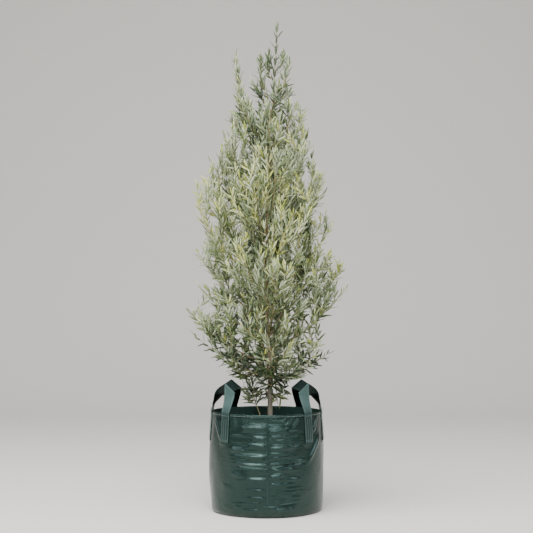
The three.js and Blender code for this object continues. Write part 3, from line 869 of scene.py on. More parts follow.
# %% The whole band
def band_rows(turns):
    """The whole band as rows: the middle, the vector across it, and its turn where it lies on the wall."""
    last, first = sorted((math.radians(t) for t in turns), key=lambda turn: abs(math.sin(turn)))
    sense = 1 if first > last else -1
    across, far_across = sideways(first) * sense, sideways(last) * -sense
    heights = np.linspace(PATCH_LOW, LOOP_FOOT, SEWN_STEPS)
    foot = on_wall(first, LOOP_FOOT)
    crease = foot - outward(first) * CREASE_LEAN
    crease.z = CREASE_HEIGHT
    leg = leg_rows(foot, crease, across, outward(first), sense)
    face_turn = first + sense * math.radians(CREASE_TURN)
    crease_across = leg[-1][1]
    fold = fold_rows(crease, crease_across, outward(face_turn))
    diagonal = crease_across.normalized()
    heading_after = (diagonal * (2 * UP.dot(diagonal)) - UP).normalized()
    end = on_wall(last, LOOP_FOOT)
    side = side_rows(fold[-1][0], heading_after, end, crease_across, face_turn, last, sense)
    rows = sewn_rows(first, across, heights) + leg + fold + side + sewn_rows(last, far_across, heights[::-1])
    print("band", turns, "has", len(rows), "rows")
    return rows, sense


def band_point(rows, index, offset):
    """A point on the band: which row, and how far across it."""
    point, across, wall_turn = rows[index]
    if wall_turn is None:
        return point + across * offset
    radius = math.hypot(point.x, point.y)
    turned = outward(wall_turn + across.dot(sideways(wall_turn)) * offset / radius) * radius
    return Vector((turned.x, turned.y, point.z))


def outer_face(rows, index, sense):
    """Which way the band's outer face looks at a row."""
    low, high = max(0, index - 1), min(len(rows) - 1, index + 1)
    along = rows[high][0] - rows[low][0]
    return (rows[index][1].cross(along) * sense).normalized()


# %% [markdown]
# The webbing is ribbed. Where its loops stand above the rim it is painted paler, a painted sheen of the light
# they catch. Its inner face is painted nearly black, as painted shade.

# %% Lay the webbing
RIB_ACROSS = 0.0021
RIB_ALONG = 0.0015
PAINTED_SHEEN_SHARE = 0.62
PAINTED_SHEEN_RISE = 0.03
# The last colour of the outside is a painted sheen: the paler colour of the loops above the rim.
OUTSIDE = (srgb(22, 40, 37), srgb(32, 55, 51), srgb(12, 26, 24), srgb(120, 151, 147))
# The inner face's near-black colours are painted shade.
SHADED_INSIDE = (srgb(6, 15, 14), srgb(10, 22, 21), srgb(3, 8, 8), srgb(10, 22, 21))


def make_webbing_finish(name, dark, light, rib, faded, gloss):
    finish = Finish(name, 0.5, Specular_IOR_Level=gloss, Specular_Tint=FILM_TINT)
    ribs = finish.weave(RIB_ACROSS, RIB_ALONG)
    painted_sheen_share = finish.times(finish.height_share(HEM_LOW, LOOP_FOOT + PAINTED_SHEEN_RISE), PAINTED_SHEEN_SHARE)
    # Above the rim the webbing is painted paler, a painted sheen of the light that the standing loops catch.
    base = finish.mix(painted_sheen_share, finish.mix(finish.mottle(26.0), dark, light), faded)
    finish.colour(finish.mix(finish.times(ribs, 0.5), rib, base))
    finish.roughness(ribs, 0.44, 0.28)
    finish.bump(ribs, 0.0001)
    return finish.material


def travelled_along(line):
    """How far along a line of points each of them lies."""
    return np.concatenate([[0], np.cumsum(np.linalg.norm(np.diff(line, axis=0), axis=1))])


def map_band(band, rows, offsets):
    """A UV map in metres: across the band, and along it."""
    travelled = travelled_along(array_of(row[0] for row in rows))
    layer = band.data.uv_layers[0]
    for loop in band.data.loops:
        row, column = divmod(loop.vertex_index, BAND_ACROSS + 1)
        layer.data[loop.index].uv = (offsets[column] + 1, travelled[row])


def start_strip(across, along):
    """A flat grid, whose points are then put where the strip runs."""
    take_up()
    bpy.ops.mesh.primitive_grid_add(x_subdivisions=across, y_subdivisions=along, size=2)
    return bpy.context.object


def thicken(strip, thickness, sharpest):
    apply_modifier(strip, "SOLIDIFY", thickness=thickness, offset=0.0)
    face_outward()
    smooth(sharpest)


def lay_band(name, turns):
    rows, sense = band_rows(turns)
    band = start_strip(BAND_ACROSS, len(rows) - 1)
    offsets = np.linspace(-STRAP_WIDTH / 2, STRAP_WIDTH / 2, BAND_ACROSS + 1)
    points = array_of(band_point(rows, i, offset) for i in range(len(rows)) for offset in offsets)
    put_points(band, points)
    map_band(band, rows, offsets)
    thicken(band, STRAP_THICKNESS, 45)
    set_down(band, "band" + name.removeprefix("handle"), webbing_finish, [name])
    band.data.materials.append(shaded_inner_finish)
    for face in band.data.polygons:
        row = (face.vertices[0] % len(points)) // (BAND_ACROSS + 1)
        face.material_index = int(face.normal.dot(outer_face(rows, row, sense)) < LOOKS_IN)
    return rows, sense


webbing_finish = make_webbing_finish("webbing", *OUTSIDE, 0.4)
# The near-black finish of the inner face is painted shade.
shaded_inner_finish = make_webbing_finish("webbing_inside_painted_shade", *SHADED_INSIDE, 0.15)
bands = {name: lay_band(name, turns) for name, turns in HANDLES.items()}

# %% [markdown]
# ## The lapped seams
# Where the fabric's ends meet, one is folded under and sewn on top of the other, so a flat strip stands a
# little proud of the wall, with a dark line along its edge, which the bag's finish paints in as painted
# shade.
# A thin strip is laid over each seam, on all the wall's folds, and sunk into it.

# %% Lay the seam strips
SEAM_WIDTH = 0.013
SEAM_PROUD = 0.0010
SEAM_SUNK = 0.0009
SEAM_ACROSS = 6
SEAM_ROWS = 128
SEAM_LOW = 0.006


def wall_surface(turn, height, lift):
    """A point on the folded wall."""
    moved = wall_moves(np.array([turn]), np.array([height]), webbing_turns)[0]
    return on_wall(turn, height, lift + moved)


def lay_seam(name, degrees):
    strip = start_strip(SEAM_ACROSS, SEAM_ROWS)
    points = points_of(strip)
    for i, (x, y, _) in enumerate(points):
        height = mix(SEAM_LOW, HEM_LOW - 0.001, (y + 1) / 2)
        turn = seam_turn(degrees, height) - SEAM_WIDTH * (1 - x) / 2 / BELLY_RADIUS
        points[i] = wall_surface(turn, height, (SEAM_PROUD - SEAM_SUNK) / 2)
    put_points(strip, points)
    thicken(strip, SEAM_PROUD + SEAM_SUNK, 50)
    map_round(strip, BELLY_RADIUS)
    set_down(strip, name, bag_finish)


for name, degrees in SEAMS.items():
    lay_seam(f"seam_{name}", degrees)

# %% [markdown]
# ## The stitching
# Pale polyester thread holds the hem, the seams and the webbing. The seams' stitches are coloured dark green
# instead, as painted shade along each seam's dark line. Each stitch is a short fat spindle half sunk in the
# fabric. One is modelled from a small sphere, and it is set out along every stitched line.

# %% One stitch, set out along lines
STITCH_PITCH = 0.0046
STITCH_LENGTH = 0.0036
STITCH_RADIUS = 0.0008
HEM_STITCH = 0.004
SEAM_STITCH = 0.0055
SEAM_STITCH_LOW = 0.012
FROM_EDGE = 0.005


def one_stitch():
    take_up()
    bpy.ops.mesh.primitive_uv_sphere_add(segments=5, ring_count=4, radius=1)
    stitch = bpy.context.object
    stitch.scale = (STITCH_RADIUS, STITCH_RADIUS, STITCH_LENGTH / 2)
    bpy.ops.object.transform_apply(scale=True)
    return stitch


def stitched_line(points):
    """Places at an even pitch on a line of points, each with the way the line runs there."""
    line = array_of(points)
    travelled = travelled_along(line)
    count = int(travelled[-1] / STITCH_PITCH)
    at = (np.arange(count) + 0.5) * travelled[-1] / count
    place = np.stack([np.interp(at, travelled, axis) for axis in line.T], axis=1)
    before = np.stack([np.interp(at - 0.001, travelled, axis) for axis in line.T], axis=1)
    return place, unit(place - before + 1e-9)


def hem_line():
    return [wall_surface(turn, HEM_LOW + HEM_STITCH, 0.0) for turn in np.linspace(-math.pi, math.pi, 400)]


def seam_line(degrees):
    aside = SEAM_STITCH / BELLY_RADIUS
    heights = np.linspace(SEAM_STITCH_LOW, HEM_LOW - 0.002, 130)
    return [wall_surface(seam_turn(degrees, z) - aside, z, SEAM_PROUD) for z in heights]


# %% Sew
def patch_lines(rows, sense):
    """Along both edges of the band, twice up the middle of each sewn end, and across its foot."""
    edge = STRAP_WIDTH / 2 - FROM_EDGE
    last = len(rows) - 1
    lift = STRAP_THICKNESS / 2

    def place(index, offset):
        return band_point(rows, index, offset) + outer_face(rows, index, sense) * lift

    free = range(SEWN_STEPS - 1, last - SEWN_STEPS + 2)
    fold = range(SEWN_STEPS + LEG_STEPS - 2, SEWN_STEPS + LEG_STEPS + FOLD_STEPS + 1)
    runs = [range(1, SEWN_STEPS - 1), range(last - SEWN_STEPS + 2, last)]
    runs += [range(free[0], fold[0]), range(fold[-1] + 1, free[-1])]
    lines = [[place(i, offset) for i in run] for run in runs for offset in (-edge, edge)]
    for run in runs[:2]:
        lines += [[place(i, offset) for i in run[:-3]] for offset in (-edge / 3, edge / 3)]
    for row in (1, 2, SEWN_STEPS - 3, last - 1, last - 2, last - SEWN_STEPS + 3):
        lines.append([place(row, x) for x in np.linspace(-edge, edge, 12)])
    return lines


def sew(name, lines, dark, light):
    """Stitches along the lines, with their length along them and one side to the bag."""
    places, runs = (np.concatenate(part) for part in zip(*(stitched_line(line) for line in lines)))
    side = unit(np.cross(unit(places * np.array([1, 1, 0])), runs))
    piece = set_out(name, one_stitch(), places, np.stack([side, np.cross(runs, side), runs], axis=2))
    thread = two_colours(f"thread_of_{name}", 0.6, dark, light, 60.0)
    set_down(piece, name, thread.material)


pale_lines = [hem_line()]
for rows, sense in bands.values():
    pale_lines += patch_lines(rows, sense)
sew("stitching", pale_lines, srgb(104, 122, 116), srgb(140, 158, 150))
# The seams' stitches are dark green: painted shade along each seam.
sew("stitching_seams", [seam_line(degrees) for degrees in SEAMS.values()], srgb(34, 52, 46), srgb(58, 78, 72))

# %% [markdown]
# ## The soil
# The bag is filled with a mix of composted bark to a few fingers' width below its rim. The mix has a dark
# crumbly surface with loose chips of bark on it. It is raised like the bag's wall and closed by a disc, in
# which crumbs are pushed up. The chips are one small block with broken edges, set out at many places.

# %% The mix
SOIL_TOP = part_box("root_ball")[1].z
SOIL_RADIUS = 0.226
SOIL_RINGS = 46
SOIL_SIDES = 150
SOIL_EDGE = 0.012
COARSE = {"per_metre": 60, "rise": 0.004}
FINE = {"per_metre": 210, "rise": 0.0028}
SURFACE = SOIL_TOP - 0.004
CHIPS_LIE = SOIL_TOP - 0.002
SOIL_FOOT = ((0.03, 0.004), (SOIL_EDGE, 0.03), (0, 0.10), (0, SOIL_TOP - SOIL_EDGE))
CHIP_COUNT = 900
CHIP_SIZES = ((0.006, 0.02), (0.004, 0.010), (0.002, 0.004))
CHIP_TILT = 0.5


def make_soil():
    rings = [(SOIL_RADIUS - inset, height) for inset, height in SOIL_FOOT]
    inner = [SOIL_RADIUS * (1 - i / SOIL_RINGS) for i in range(SOIL_RINGS)]
    inner[0] += SOIL_EDGE
    piece = raise_wall(rings + [(radius, SURFACE) for radius in inner], SOIL_SIDES)
    points = points_of(piece)
    for i, (x, y, z) in enumerate(points):
        if z > SURFACE - 0.002:
            coarse = noise.noise(Vector((x, y, 0)) * COARSE["per_metre"])
            crumbs = noise.noise(Vector((x, y, 3)) * FINE["per_metre"])
            points[i, 2] += COARSE["rise"] * coarse + FINE["rise"] * crumbs
    put_points(piece, points)
    return piece


# %% The chips
def one_chip():
    take_up()
    bpy.ops.mesh.primitive_cube_add(size=1)
    chip = bpy.context.object
    bpy.ops.object.mode_set(mode="EDIT")
    bpy.ops.mesh.bevel(offset=0.18, segments=1)
    bpy.ops.object.mode_set(mode="OBJECT")
    return chip


def scatter_chips():
    chance = np.random.default_rng(31)
    reach = (SOIL_RADIUS - 0.006) * np.sqrt(chance.uniform(0.004, 1, CHIP_COUNT))
    turn = chance.uniform(0, math.tau, CHIP_COUNT)
    height = CHIPS_LIE + chance.uniform(-0.001, 0.003, CHIP_COUNT)
    places = np.stack([reach * np.cos(turn), reach * np.sin(turn), height], axis=1)
    sizes = np.stack([chance.uniform(*span, CHIP_COUNT) for span in CHIP_SIZES], axis=1)
    turns = np.empty((CHIP_COUNT, 3, 3))
    for i in range(CHIP_COUNT):
        over, along = (Matrix.Rotation(chance.uniform(-CHIP_TILT, CHIP_TILT), 3, axis) for axis in "XY")
        spun = Matrix.Rotation(chance.uniform(0, math.tau), 3, "Z")
        turns[i] = np.array(spun @ (over @ along)) * sizes[i]
    return set_out("chips", one_chip(), places, turns)


mix_finish = two_colours("mix", 0.95, srgb(38, 29, 22), srgb(78, 60, 44), 160.0, 3.0, 0.0012)
chip_finish = two_colours("chips", 0.85, srgb(62, 44, 31), srgb(122, 92, 66), 160.0, 3.0, 0.0012)
set_down(make_soil(), "soil", mix_finish.material, ["root_ball"])
set_down(scatter_chips(), "bark_chips", chip_finish.material)

# %% [markdown]
# ## How the crown grows
# The rule is the one that shaped the solids, and it is kept in millimetres here, as theirs is. Branches
# leave the trunk in tiers, rise ever more steeply, and stop short of the crown's outline. Twigs leave a stem
# to alternate sides, and leaves sit on both in opposite pairs, each pair a quarter turn on from the last.
# A repeatable stream of numbers gives every branch its own lean and curl, so it is the same plant each time.

# %% The trunk's line and the crown's outline, in millimetres
TRUNK_LINE = [
    (375, 16, 0),
    (655, 14, 4),
    (830, 2, 6),
    (1070, -2, 0),
    (1270, 3, -5),
    (1430, 17, -3),
    (1650, 13, 2),
    (1850, 34, 4),
    (2110, 45, 0),
]
TRUNK_TOP = 1850
LEADER_TIP = 2112
TREE_TOP = 2164
TRUNK_RADII = [(375, 15), (400, 11.5), (655, 8.6), (950, 5.8), (1400, 3.9), (TRUNK_TOP, 2.6)]
CROWN_REACH = [
    (440, 60, 70),
    (539, 130, 100),
    (592, 240, 205),
    (693, 295, 275),
    (772, 337, 304),
    (859, 354, 318),
    (982, 305, 360),
    (1070, 320, 346),
    (1162, 344, 267),
    (1225, 262, 300),
    (1276, 300, 316),
    (1400, 360, 245),
    (1502, 277, 268),
    (1631, 240, 185),
    (1756, 176, 156),
    (1830, 136, 92),
    (2000, 81, 68),
    (2060, 42, 42),
    (TREE_TOP, 12, 12),
]
CROWN_FOOT = 440
FOOT_STEEPNESS = 0.35
STEEPNESS_GAIN = 0.0012
BEND_START = 0.5
BEND_SPAN = 500


def numbers(seed):
    """A repeatable stream of numbers from 0 to 1."""
    state = (seed * 2654435761) & 0xFFFFFFFF
    while True:
        state = (state * 1664525 + 1013904223) & 0xFFFFFFFF
        yield state / 4294967296


def read(table, height, column, between=lambda share: share):
    """The value in a table's column at a height, between its rows."""
    if height <= table[0][0]:
        return table[0][column]
    for low, high in zip(table, table[1:]):
        if height <= high[0]:
            return mix(low[column], high[column], between((height - low[0]) / (high[0] - low[0])))
    return table[-1][column]


def trunk_point(height):
    return Vector((read(TRUNK_LINE, height, 1, ease), read(TRUNK_LINE, height, 2, ease), height))


def bend(reach):
    return reach * (BEND_START + reach / BEND_SPAN)


def steepness(start):
    return FOOT_STEEPNESS + STEEPNESS_GAIN * (start - CROWN_FOOT)


def crown_point(reach, turn, start):
    """Where a branch that leaves the trunk at a height has got to at a reach."""
    return trunk_point(start + steepness(start) * bend(reach)) + outward(turn) * reach


def crown_place(point):
    """The reach, turn and start on the trunk of a point in the crown."""
    axis = trunk_point(point.z)
    x, y = point.x - axis.x, point.y - axis.y
    reach = math.hypot(x, y)
    above_foot = point.z - CROWN_FOOT - FOOT_STEEPNESS * bend(reach)
    start = CROWN_FOOT + above_foot / (1 + STEEPNESS_GAIN * bend(reach))
    return reach, math.atan2(y, x), start


def crown_reach(height, turn):
    left, right = read(CROWN_REACH, height, 1), read(CROWN_REACH, height, 2)
    return (left + right) / 2 + (right - left) / 2 * math.cos(turn)


def share_of_reach(point):
    """How far out a point lies, as a share of the crown's reach there."""
    reach, turn, _ = crown_place(point)
    return min(1, reach / max(30, crown_reach(point.z, turn)))


print("crown at half its height reaches", round(crown_reach(1300, 0)), "mm to the right")

# %% [markdown]
# ## The growing rules
# A twig that would leave its branch's part of the crown is shortened, and if it still doesn't fit it is left
# out. A leaf there lies closer to its stem, or is left out. The solids stop at twigs of the first order. Here
# finer orders follow in the same spaces, and the leaves are 48 mm long, as they are on the real tree.

# %% Spaces and branches
TIERS = [
    (530, 570, 552, 4, 10),
    (605, 625, 690, 4, -14),
    (712, 741, 766, 4, 9),
    (798, 829, 850, 4, -12),
    (890, 967, 931, 4, 13),
    (1025, 1075, 1100, 4, -9),
    (1130, 1185, 1162, 4, 11),
    (1245, 1306, 1331, 3, 26),
    (1375, 1476, 1421, 3, -28),
    (1510, 1580, 1544, 3, 24),
    (1650, 1740, 1755, 3, -26),
]
TIERS_TOP = 1820
BOUGH_TIERS = (1, 2, 3)
BOUGH_SHARE = 0.42
SOLID_LEAF = 84
TIP_LEAF = 34
LEAF_LENGTH = 48
LEAF_WIDTH = 9.6
OUTLINE_MARGIN = 16
SECTOR_OVERLAP = 56
TIER_OVERLAP = 110
HANDLE_TOP = 570
HANDLE_ZONE = 105


def fits_crown(point):
    """In the crown's outline, off the trunk and clear of the handles."""
    reach, turn, _ = crown_place(point)
    if point.z > TREE_TOP or reach > crown_reach(point.z, turn) + OUTLINE_MARGIN:
        return False
    if point.z < TRUNK_TOP and reach < read(TRUNK_RADII, point.z, 1) + 2:
        return False
    return point.z > HANDLE_TOP or reach < HANDLE_ZONE


def fits_cell(point, cell):
    """In one branch's part of the crown, with an overlap into its neighbours."""
    low, high, middle, half = cell
    reach, turn, start = crown_place(point)
    off = abs(math.atan2(math.sin(turn - middle), math.cos(turn - middle)))
    in_sector = reach * math.sin(min(math.pi / 2, half - off)) > -SECTOR_OVERLAP
    return in_sector and low - TIER_OVERLAP < start < high + TIER_OVERLAP and fits_crown(point)


def reach_of_branch(turn, start, leaf):
    """How far out a branch gets before the leaf at its tip meets the crown's outline."""
    reach, fits = 20, True
    while fits and reach < 400:
        slope = steepness(start) * (BEND_START + 2 * reach / BEND_SPAN)
        ahead = leaf / math.hypot(1, slope)
        height = start + steepness(start) * bend(reach) + ahead * slope
        fits = reach + ahead < crown_reach(height, turn)
        reach += 4
    return reach


def heading(line, t, step=0.02):
    return (line(min(1, t + step)) - line(max(0, t - step))).normalized()


def turned_about(vector, axis, angle):
    return Matrix.Rotation(angle, 3, axis) @ vector


def length_of(line, steps=8):
    points = [line(i / steps) for i in range(steps + 1)]
    return sum((b - a).length for a, b in zip(points, points[1:]))


def share_between(value, low, high):
    return min(1, max(0, (value - low) / (high - low)))


def curve(a, b, c):
    """A line that leaves one point towards the next and bends to the last."""
    return lambda t: a * (1 - t) ** 2 + b * (2 * t * (1 - t)) + c * t**2


def part_of(line, low, high):
    return lambda t: line(mix(low, high, t))


# %% [markdown]
# A real olive shoot leaves its parent wide and then turns up towards the light. So each twig starts in the
# direction of the source's rule, and bends upwards on its way, more so high in the crown, where the
# light is all above. Each order of twigs follows one description. Most twigs stop short of the crown's
# outline, so the tips of the branches stand out from it one by one.

# %% Twigs on a stem
TWIG_SPREAD = 46
TWIG_SPREAD_VARIES = (0.75, 1.15)
TWIG_ROLL = (-1.1, 1.1)
TWIG_LENGTH_VARIES = (0.8, 1.15)
TWIG_MEANT_LEAST = 52
TWIG_SHORTEST = 34
SHORTER_TRIES = (1, 0.8, 0.6, 0.42)
LIFT_HEIGHTS = (520, 1400)
LIFT = (0.28, 0.95)
NO_EDGE = 1.05
EDGE = 0.76
Order = namedtuple("Order", "spacing share bare lift top edge")
ORDERS = [Order(108, 0.62, 0.14, 0.5, 0.92, EDGE), Order(72, 0.5, 0.04, 0.8, 0.92, EDGE)]
SIDE_TWIGS = Order(50, 0.5, 0.16, 0.7, 0.92, EDGE)
BOUGH_TWIGS = Order(34, 0.7, 0.2, 0.8, 0.95, NO_EDGE)


class Crown:
    """Everything that has grown so far."""

    def __init__(self):
        self.stems = []
        self.leaves = []


def curve_through(root, first, end):
    """A twig's line: it leaves its root in one direction and bends to its end."""
    return curve(root, root + first * 0.5 * (end - root).length, end)


def twigs_on(stem, order, across, fits, seed):
    """Twigs to alternate sides of a stem, each as long as fits: its line, its side and its length."""
    random, edges = numbers(seed), numbers(seed + 77)
    length = length_of(stem)
    count = round(length * (1 - order.bare) / order.spacing)
    for i in range(count):
        t = mix(order.bare + 0.06, order.top, (i + 0.4) / count)
        along = heading(stem, t)
        side = turned_about(across * (-1 if i % 2 else 1), along, mix(*TWIG_ROLL, next(random)))
        spread = math.radians(TWIG_SPREAD) * mix(*TWIG_SPREAD_VARIES, next(random))
        out = (along * math.cos(spread) + side * math.sin(spread)).normalized()
        meant = max(TWIG_MEANT_LEAST, length * order.share * (1 - 0.5 * t))
        full = meant * mix(*TWIG_LENGTH_VARIES, next(random))
        root = stem(t)
        lift = order.lift * mix(*LIFT, share_between(root.z, *LIFT_HEIGHTS))
        way = (out * (1 - lift) + UP * lift).normalized()
        edge = mix(order.edge, NO_EDGE, next(edges))
        for share in SHORTER_TRIES:
            end, reach = root + way * full * share, full * share
            inside = share_of_reach(end) < edge and fits(end) and fits(root.lerp(end, 0.6))
            if inside and reach >= TWIG_SHORTEST:
                yield curve_through(root, out, end), side, reach
                break


# %% [markdown]
# Leaves sit in opposite pairs, each pair a quarter turn on from the last. Those in the shade low down are
# longer and hang a little. The newest leaves, at a twig's tip, are a shade paler than the rest of the spray.

# %% Leaves on a stem
LEAF_SPACING = 20
LEADER_LEAF_SPACING = 25
LEADER_ROOM = 46
LEAF_SPREAD = 34
SHOOT_LEAF_SPREAD = 28
HANGING = 0.5
SHADE_HEIGHTS = (520, 760)
LONGER_IN_SHADE = 0.12
WIDER_IN_SHADE = 0.6
BOWED_IN_SHADE = 0.08
LEAF_SIZES = (0.84, 1.14)
LEAF_BOWS = (-0.04, 0.11)
LEAF_ROLL = 0.8
PAIR_ROLL = 0.4
OPENING_VARIES = (0.7, 1.4)
CLOSER_TRIES = (1, 0.6, 0.3)
SMALLER_FROM, SIZE_AT_TIP = 0.75, 0.74


def leaves_on(crown, line, length, bare, across, spread, spacing, fits, spray, seed):
    random = numbers(seed)
    pairs = max(1, round(length * (1 - bare) / spacing))

    def put(t, opening, roll, size):
        along = heading(line, t)
        root = line(t)
        side = turned_about(across, along, roll)
        low = 1 - share_between(root.z, *SHADE_HEIGHTS)
        blade = LEAF_LENGTH * size * mix(*LEAF_SIZES, next(random)) * (1 + LONGER_IN_SHADE * low)
        for share in CLOSER_TRIES:
            angle = opening * share * (1 + WIDER_IN_SHADE * low)
            out = (along * math.cos(angle) + side * math.sin(angle) - UP * HANGING * low * share).normalized()
            if fits(root + out * blade):
                roll_over = mix(-LEAF_ROLL, LEAF_ROLL, next(random))
                facing = turned_about((along - out * along.dot(out)).normalized(), out, roll_over)
                bow = mix(*LEAF_BOWS, next(random)) + BOWED_IN_SHADE * low
                tone = min(len(SPRAYS) - 1, spray + (t > NEW_LEAVES))
                crown.leaves.append((root, out, facing, blade, bow, tone))
                return

    for i in range(pairs):
        t = mix(bare, 0.97, (i + 0.5) / pairs)
        roll = (i % 2) * math.pi / 2 + mix(-PAIR_ROLL, PAIR_ROLL, next(random))
        size = mix(1.0, SIZE_AT_TIP, share_between(t, SMALLER_FROM, 1))
        for half_round in (0, math.pi):
            put(t, math.radians(spread) * mix(*OPENING_VARIES, next(random)), roll + half_round, size)
    put(1.0, 0.12, next(random) * math.pi, 0.86)
    put(0.99, 0.4, next(random) * math.pi, 0.66)


# %% [markdown]
# On the real tree sprays differ in colour: yellow-green tips in the sun, silvery sprays that show their
# undersides, grey-green ones behind, and dark ones inside and low down. Here five leaf colours stand for
# them, and each spray is given one by where it is and by chance: paler further out and higher up, as painted
# sunlight, and darker inside and low down, as painted shade.

# %% The colour of a spray, and a whole branch
SPRAYS = ["deep", "moss", "sage", "silver", "young"]
SPRAY_LIMITS = (0.17, 0.39, 0.64, 0.88)
SPRAY_LEVELS = ((560, 1500), (560, 800), (1450, 1800), (1850, 2000))
NEW_LEAVES = 0.9
CROWN_HABIT = (LEAF_SPREAD, LEAF_SPACING)
TWIG_LOOK = ((1.2, 0.8), 4, 4)
SPUR_LOOK = ((1.5, 0.8), 4, 4)
SPUR_HABIT = (LEAF_SPREAD, LEAF_SPACING - 4)
GAP_LOOK = ((1.3, 0.7), 4, 4)
FORKS_FROM = 84


def spray_at(point, chance):
    """Which of the sprays grows at a point: paler ones further out and higher up, as painted sunlight, darker
    ones low down, as painted shade, and none of the palest near the top.
    """
    outer = share_of_reach(point)
    high, lit, top, tip = (share_between(point.z, *levels) for levels in SPRAY_LEVELS)
    # Painted light: outer and higher sprays are paler, low and inner ones darker.
    score = 0.44 * outer + 0.36 * high + 0.74 * (chance - 0.36) - 0.26 * (1 - lit) - 0.46 * top - 0.16 * tip
    return sum(score > limit for limit in SPRAY_LIMITS)


def leafy(crown, line, length, across, fits, random, seed, look, bare=0.1, habit=CROWN_HABIT, at=0.8):
    """A stem with its own leaves, all of the spray that its place and chance give it."""
    crown.stems.append((line, *look))
    spread, spacing = habit
    spray = spray_at(line(at), next(random))
    leaves_on(crown, line, length, bare, across, spread, spacing, fits, spray, seed)


def grow_branch(crown, stem, radii, bare, across, fits, seed, habit=CROWN_HABIT, orders=ORDERS):
    """A stem with its leaves, its twigs of every order, and theirs."""
    random = numbers(seed + 900)
    leafy(crown, stem, length_of(stem), across, fits, random, seed + 500, (radii, 8, 6), bare, habit)
    for k, order in enumerate(orders):
        for n, (twig, side, reach) in enumerate(twigs_on(stem, order, across, fits, seed + 7000 * k)):
            thick = mix(1.2, 1.9, min(1, reach / 180))
            key = seed + 7000 * k + 31 * n + 11
            leafy(crown, twig, reach, side, fits, random, key, ((thick, 0.8), 5, 4), habit=habit)
            if reach < FORKS_FROM:
                continue
            for m, (small, aside, small_reach) in enumerate(twigs_on(twig, SIDE_TWIGS, side, fits, key + 3)):
                look = ((1.1, 0.7), 3, 3)
                leafy(crown, small, small_reach, aside, fits, random, key + 5 + m, look, habit=habit)


# %% [markdown]
# ## Growing the crown
# The branches of each tier come first. Those of the lower tiers that go left and right start from the tip of
# a bare bough. Then come the single shoots with a way of their own, the leader, and small leafy spurs from
# the trunk itself, which fill the crown's middle and hang under it.

# %% Shoots with a way of their own
Shoot = namedtuple("Shoot", "turn foot towards tip radii")
UPRIGHT_BOUGH = Shoot(-45, (0, 748), (125, 862), (165, 1022), (6.2, 4.2))
UPRIGHT_SHOOT = Shoot(-45, (165, 1022), (197, 1150), (240, 1352), (3.4, 1.3))
LEFT_LEADER = Shoot(180, (0, 1460), (140, 1640), (176, 1985), (2.8, 1.2))
BESIDE_LEFT = Shoot(186, (0, 1770), (66, 1850), (68, 1968), (2.2, 1.1))
BESIDE_RIGHT = Shoot(-8, (0, 1790), (58, 1850), (62, 1954), (2.2, 1.1))
BASAL_LEFT = Shoot(188, (28, 370), (62, 450), (84, 536), (2.6, 1.3))
BASAL_RIGHT = Shoot(-12, (0, 455), (34, 480), (56, 524), (2.4, 1.3))
SHOOT_TWIGS = [Order(52, 0.24, 0.24, 0.9, 0.9, NO_EDGE)]
LEADER_TWIGS = [Order(62, 0.34, 0.0, 0.4, 0.36, NO_EDGE)]
BASAL_TWIGS = [Order(26, 0.4, 0.42, 0.3, 0.9, NO_EDGE)]
SHOOTS = [
    # the shoot, the room round it, its bare share, its leaf spacing, its twigs
    (UPRIGHT_SHOOT, 62, 0.05, 25, SHOOT_TWIGS),
    (LEFT_LEADER, 56, 0.2, 25, SHOOT_TWIGS),
    (BESIDE_LEFT, 56, 0.1, 25, SHOOT_TWIGS),
    (BESIDE_RIGHT, 56, 0.1, 25, SHOOT_TWIGS),
    (BASAL_LEFT, 66, 0.6, 11, BASAL_TWIGS),
    (BASAL_RIGHT, 50, 0.5, 11, BASAL_TWIGS),
]
SIDEWAYS = 0.7
START_SHARES = (0.3, 0.6)
CURL = 0.14
BOUGH_RADII = (5.4, 3.6)
STEM_RADII = (3.4, 1.2)
LEADER_RADII = (2.5, 1.1)


def shoot_line(shoot):
    """A curve in the upright plane at a turn, from its foot past a second point to its tip."""
    way = outward(math.radians(shoot.turn))
    return curve(*(trunk_point(z) + way * reach for reach, z in (shoot.foot, shoot.towards, shoot.tip)))


# %% Tiers
def branch_line(whole, turn, curl, start):
    return lambda t: crown_point(whole * t, turn + curl * t * t, start)


def grow_tiers(crown, boughs):
    for tier, (low, left_start, right_start, count, offset) in enumerate(TIERS):
        high = TIERS[tier + 1][0] if tier + 1 < len(TIERS) else TIERS_TOP
        for j in range(count):
            seed = 100 * (tier + 1) + j
            random = numbers(seed + 50)
            turn = math.pi + math.radians(offset) + math.tau * j / count
            to_left, to_right = math.cos(turn) < -SIDEWAYS, math.cos(turn) > SIDEWAYS
            elsewhere = mix(low, high, mix(*START_SHARES, next(random)))
            start = left_start if to_left else right_start if to_right else elsewhere
            curl = mix(-CURL, CURL, next(random))
            whole = reach_of_branch(turn, start, SOLID_LEAF)
            branch = branch_line(whole, turn, curl, start)
            fits = partial(fits_cell, cell=(low, high, turn, math.pi / count))
            first, bare = 0.0, 0.10
            if tier in BOUGH_TIERS and (to_left or to_right):
                first, bare = BOUGH_SHARE, 0.03
                bough = part_of(branch, 0, BOUGH_SHARE)
                boughs.append((bough, BOUGH_RADII))
                grow_on_bough(crown, bough, sideways(turn), fits, seed + 40)
            stem = part_of(branch, first, reach_of_branch(turn, start, TIP_LEAF) / whole)
            grow_branch(crown, stem, STEM_RADII, bare, sideways(turn), fits, seed)


def grow_on_bough(crown, bough, across, fits, seed):
    """Short leafy twigs on the bare bough, which hide its foot."""
    random = numbers(seed + 1)
    for n, (twig, side, reach) in enumerate(twigs_on(bough, BOUGH_TWIGS, across, fits, seed)):
        leafy(crown, twig, reach, side, fits, random, seed + 60 + n, TWIG_LOOK)


# %% Single shoots and the leader
def near_path(point, path, room):
    return min((point - other).length for other in path) < room


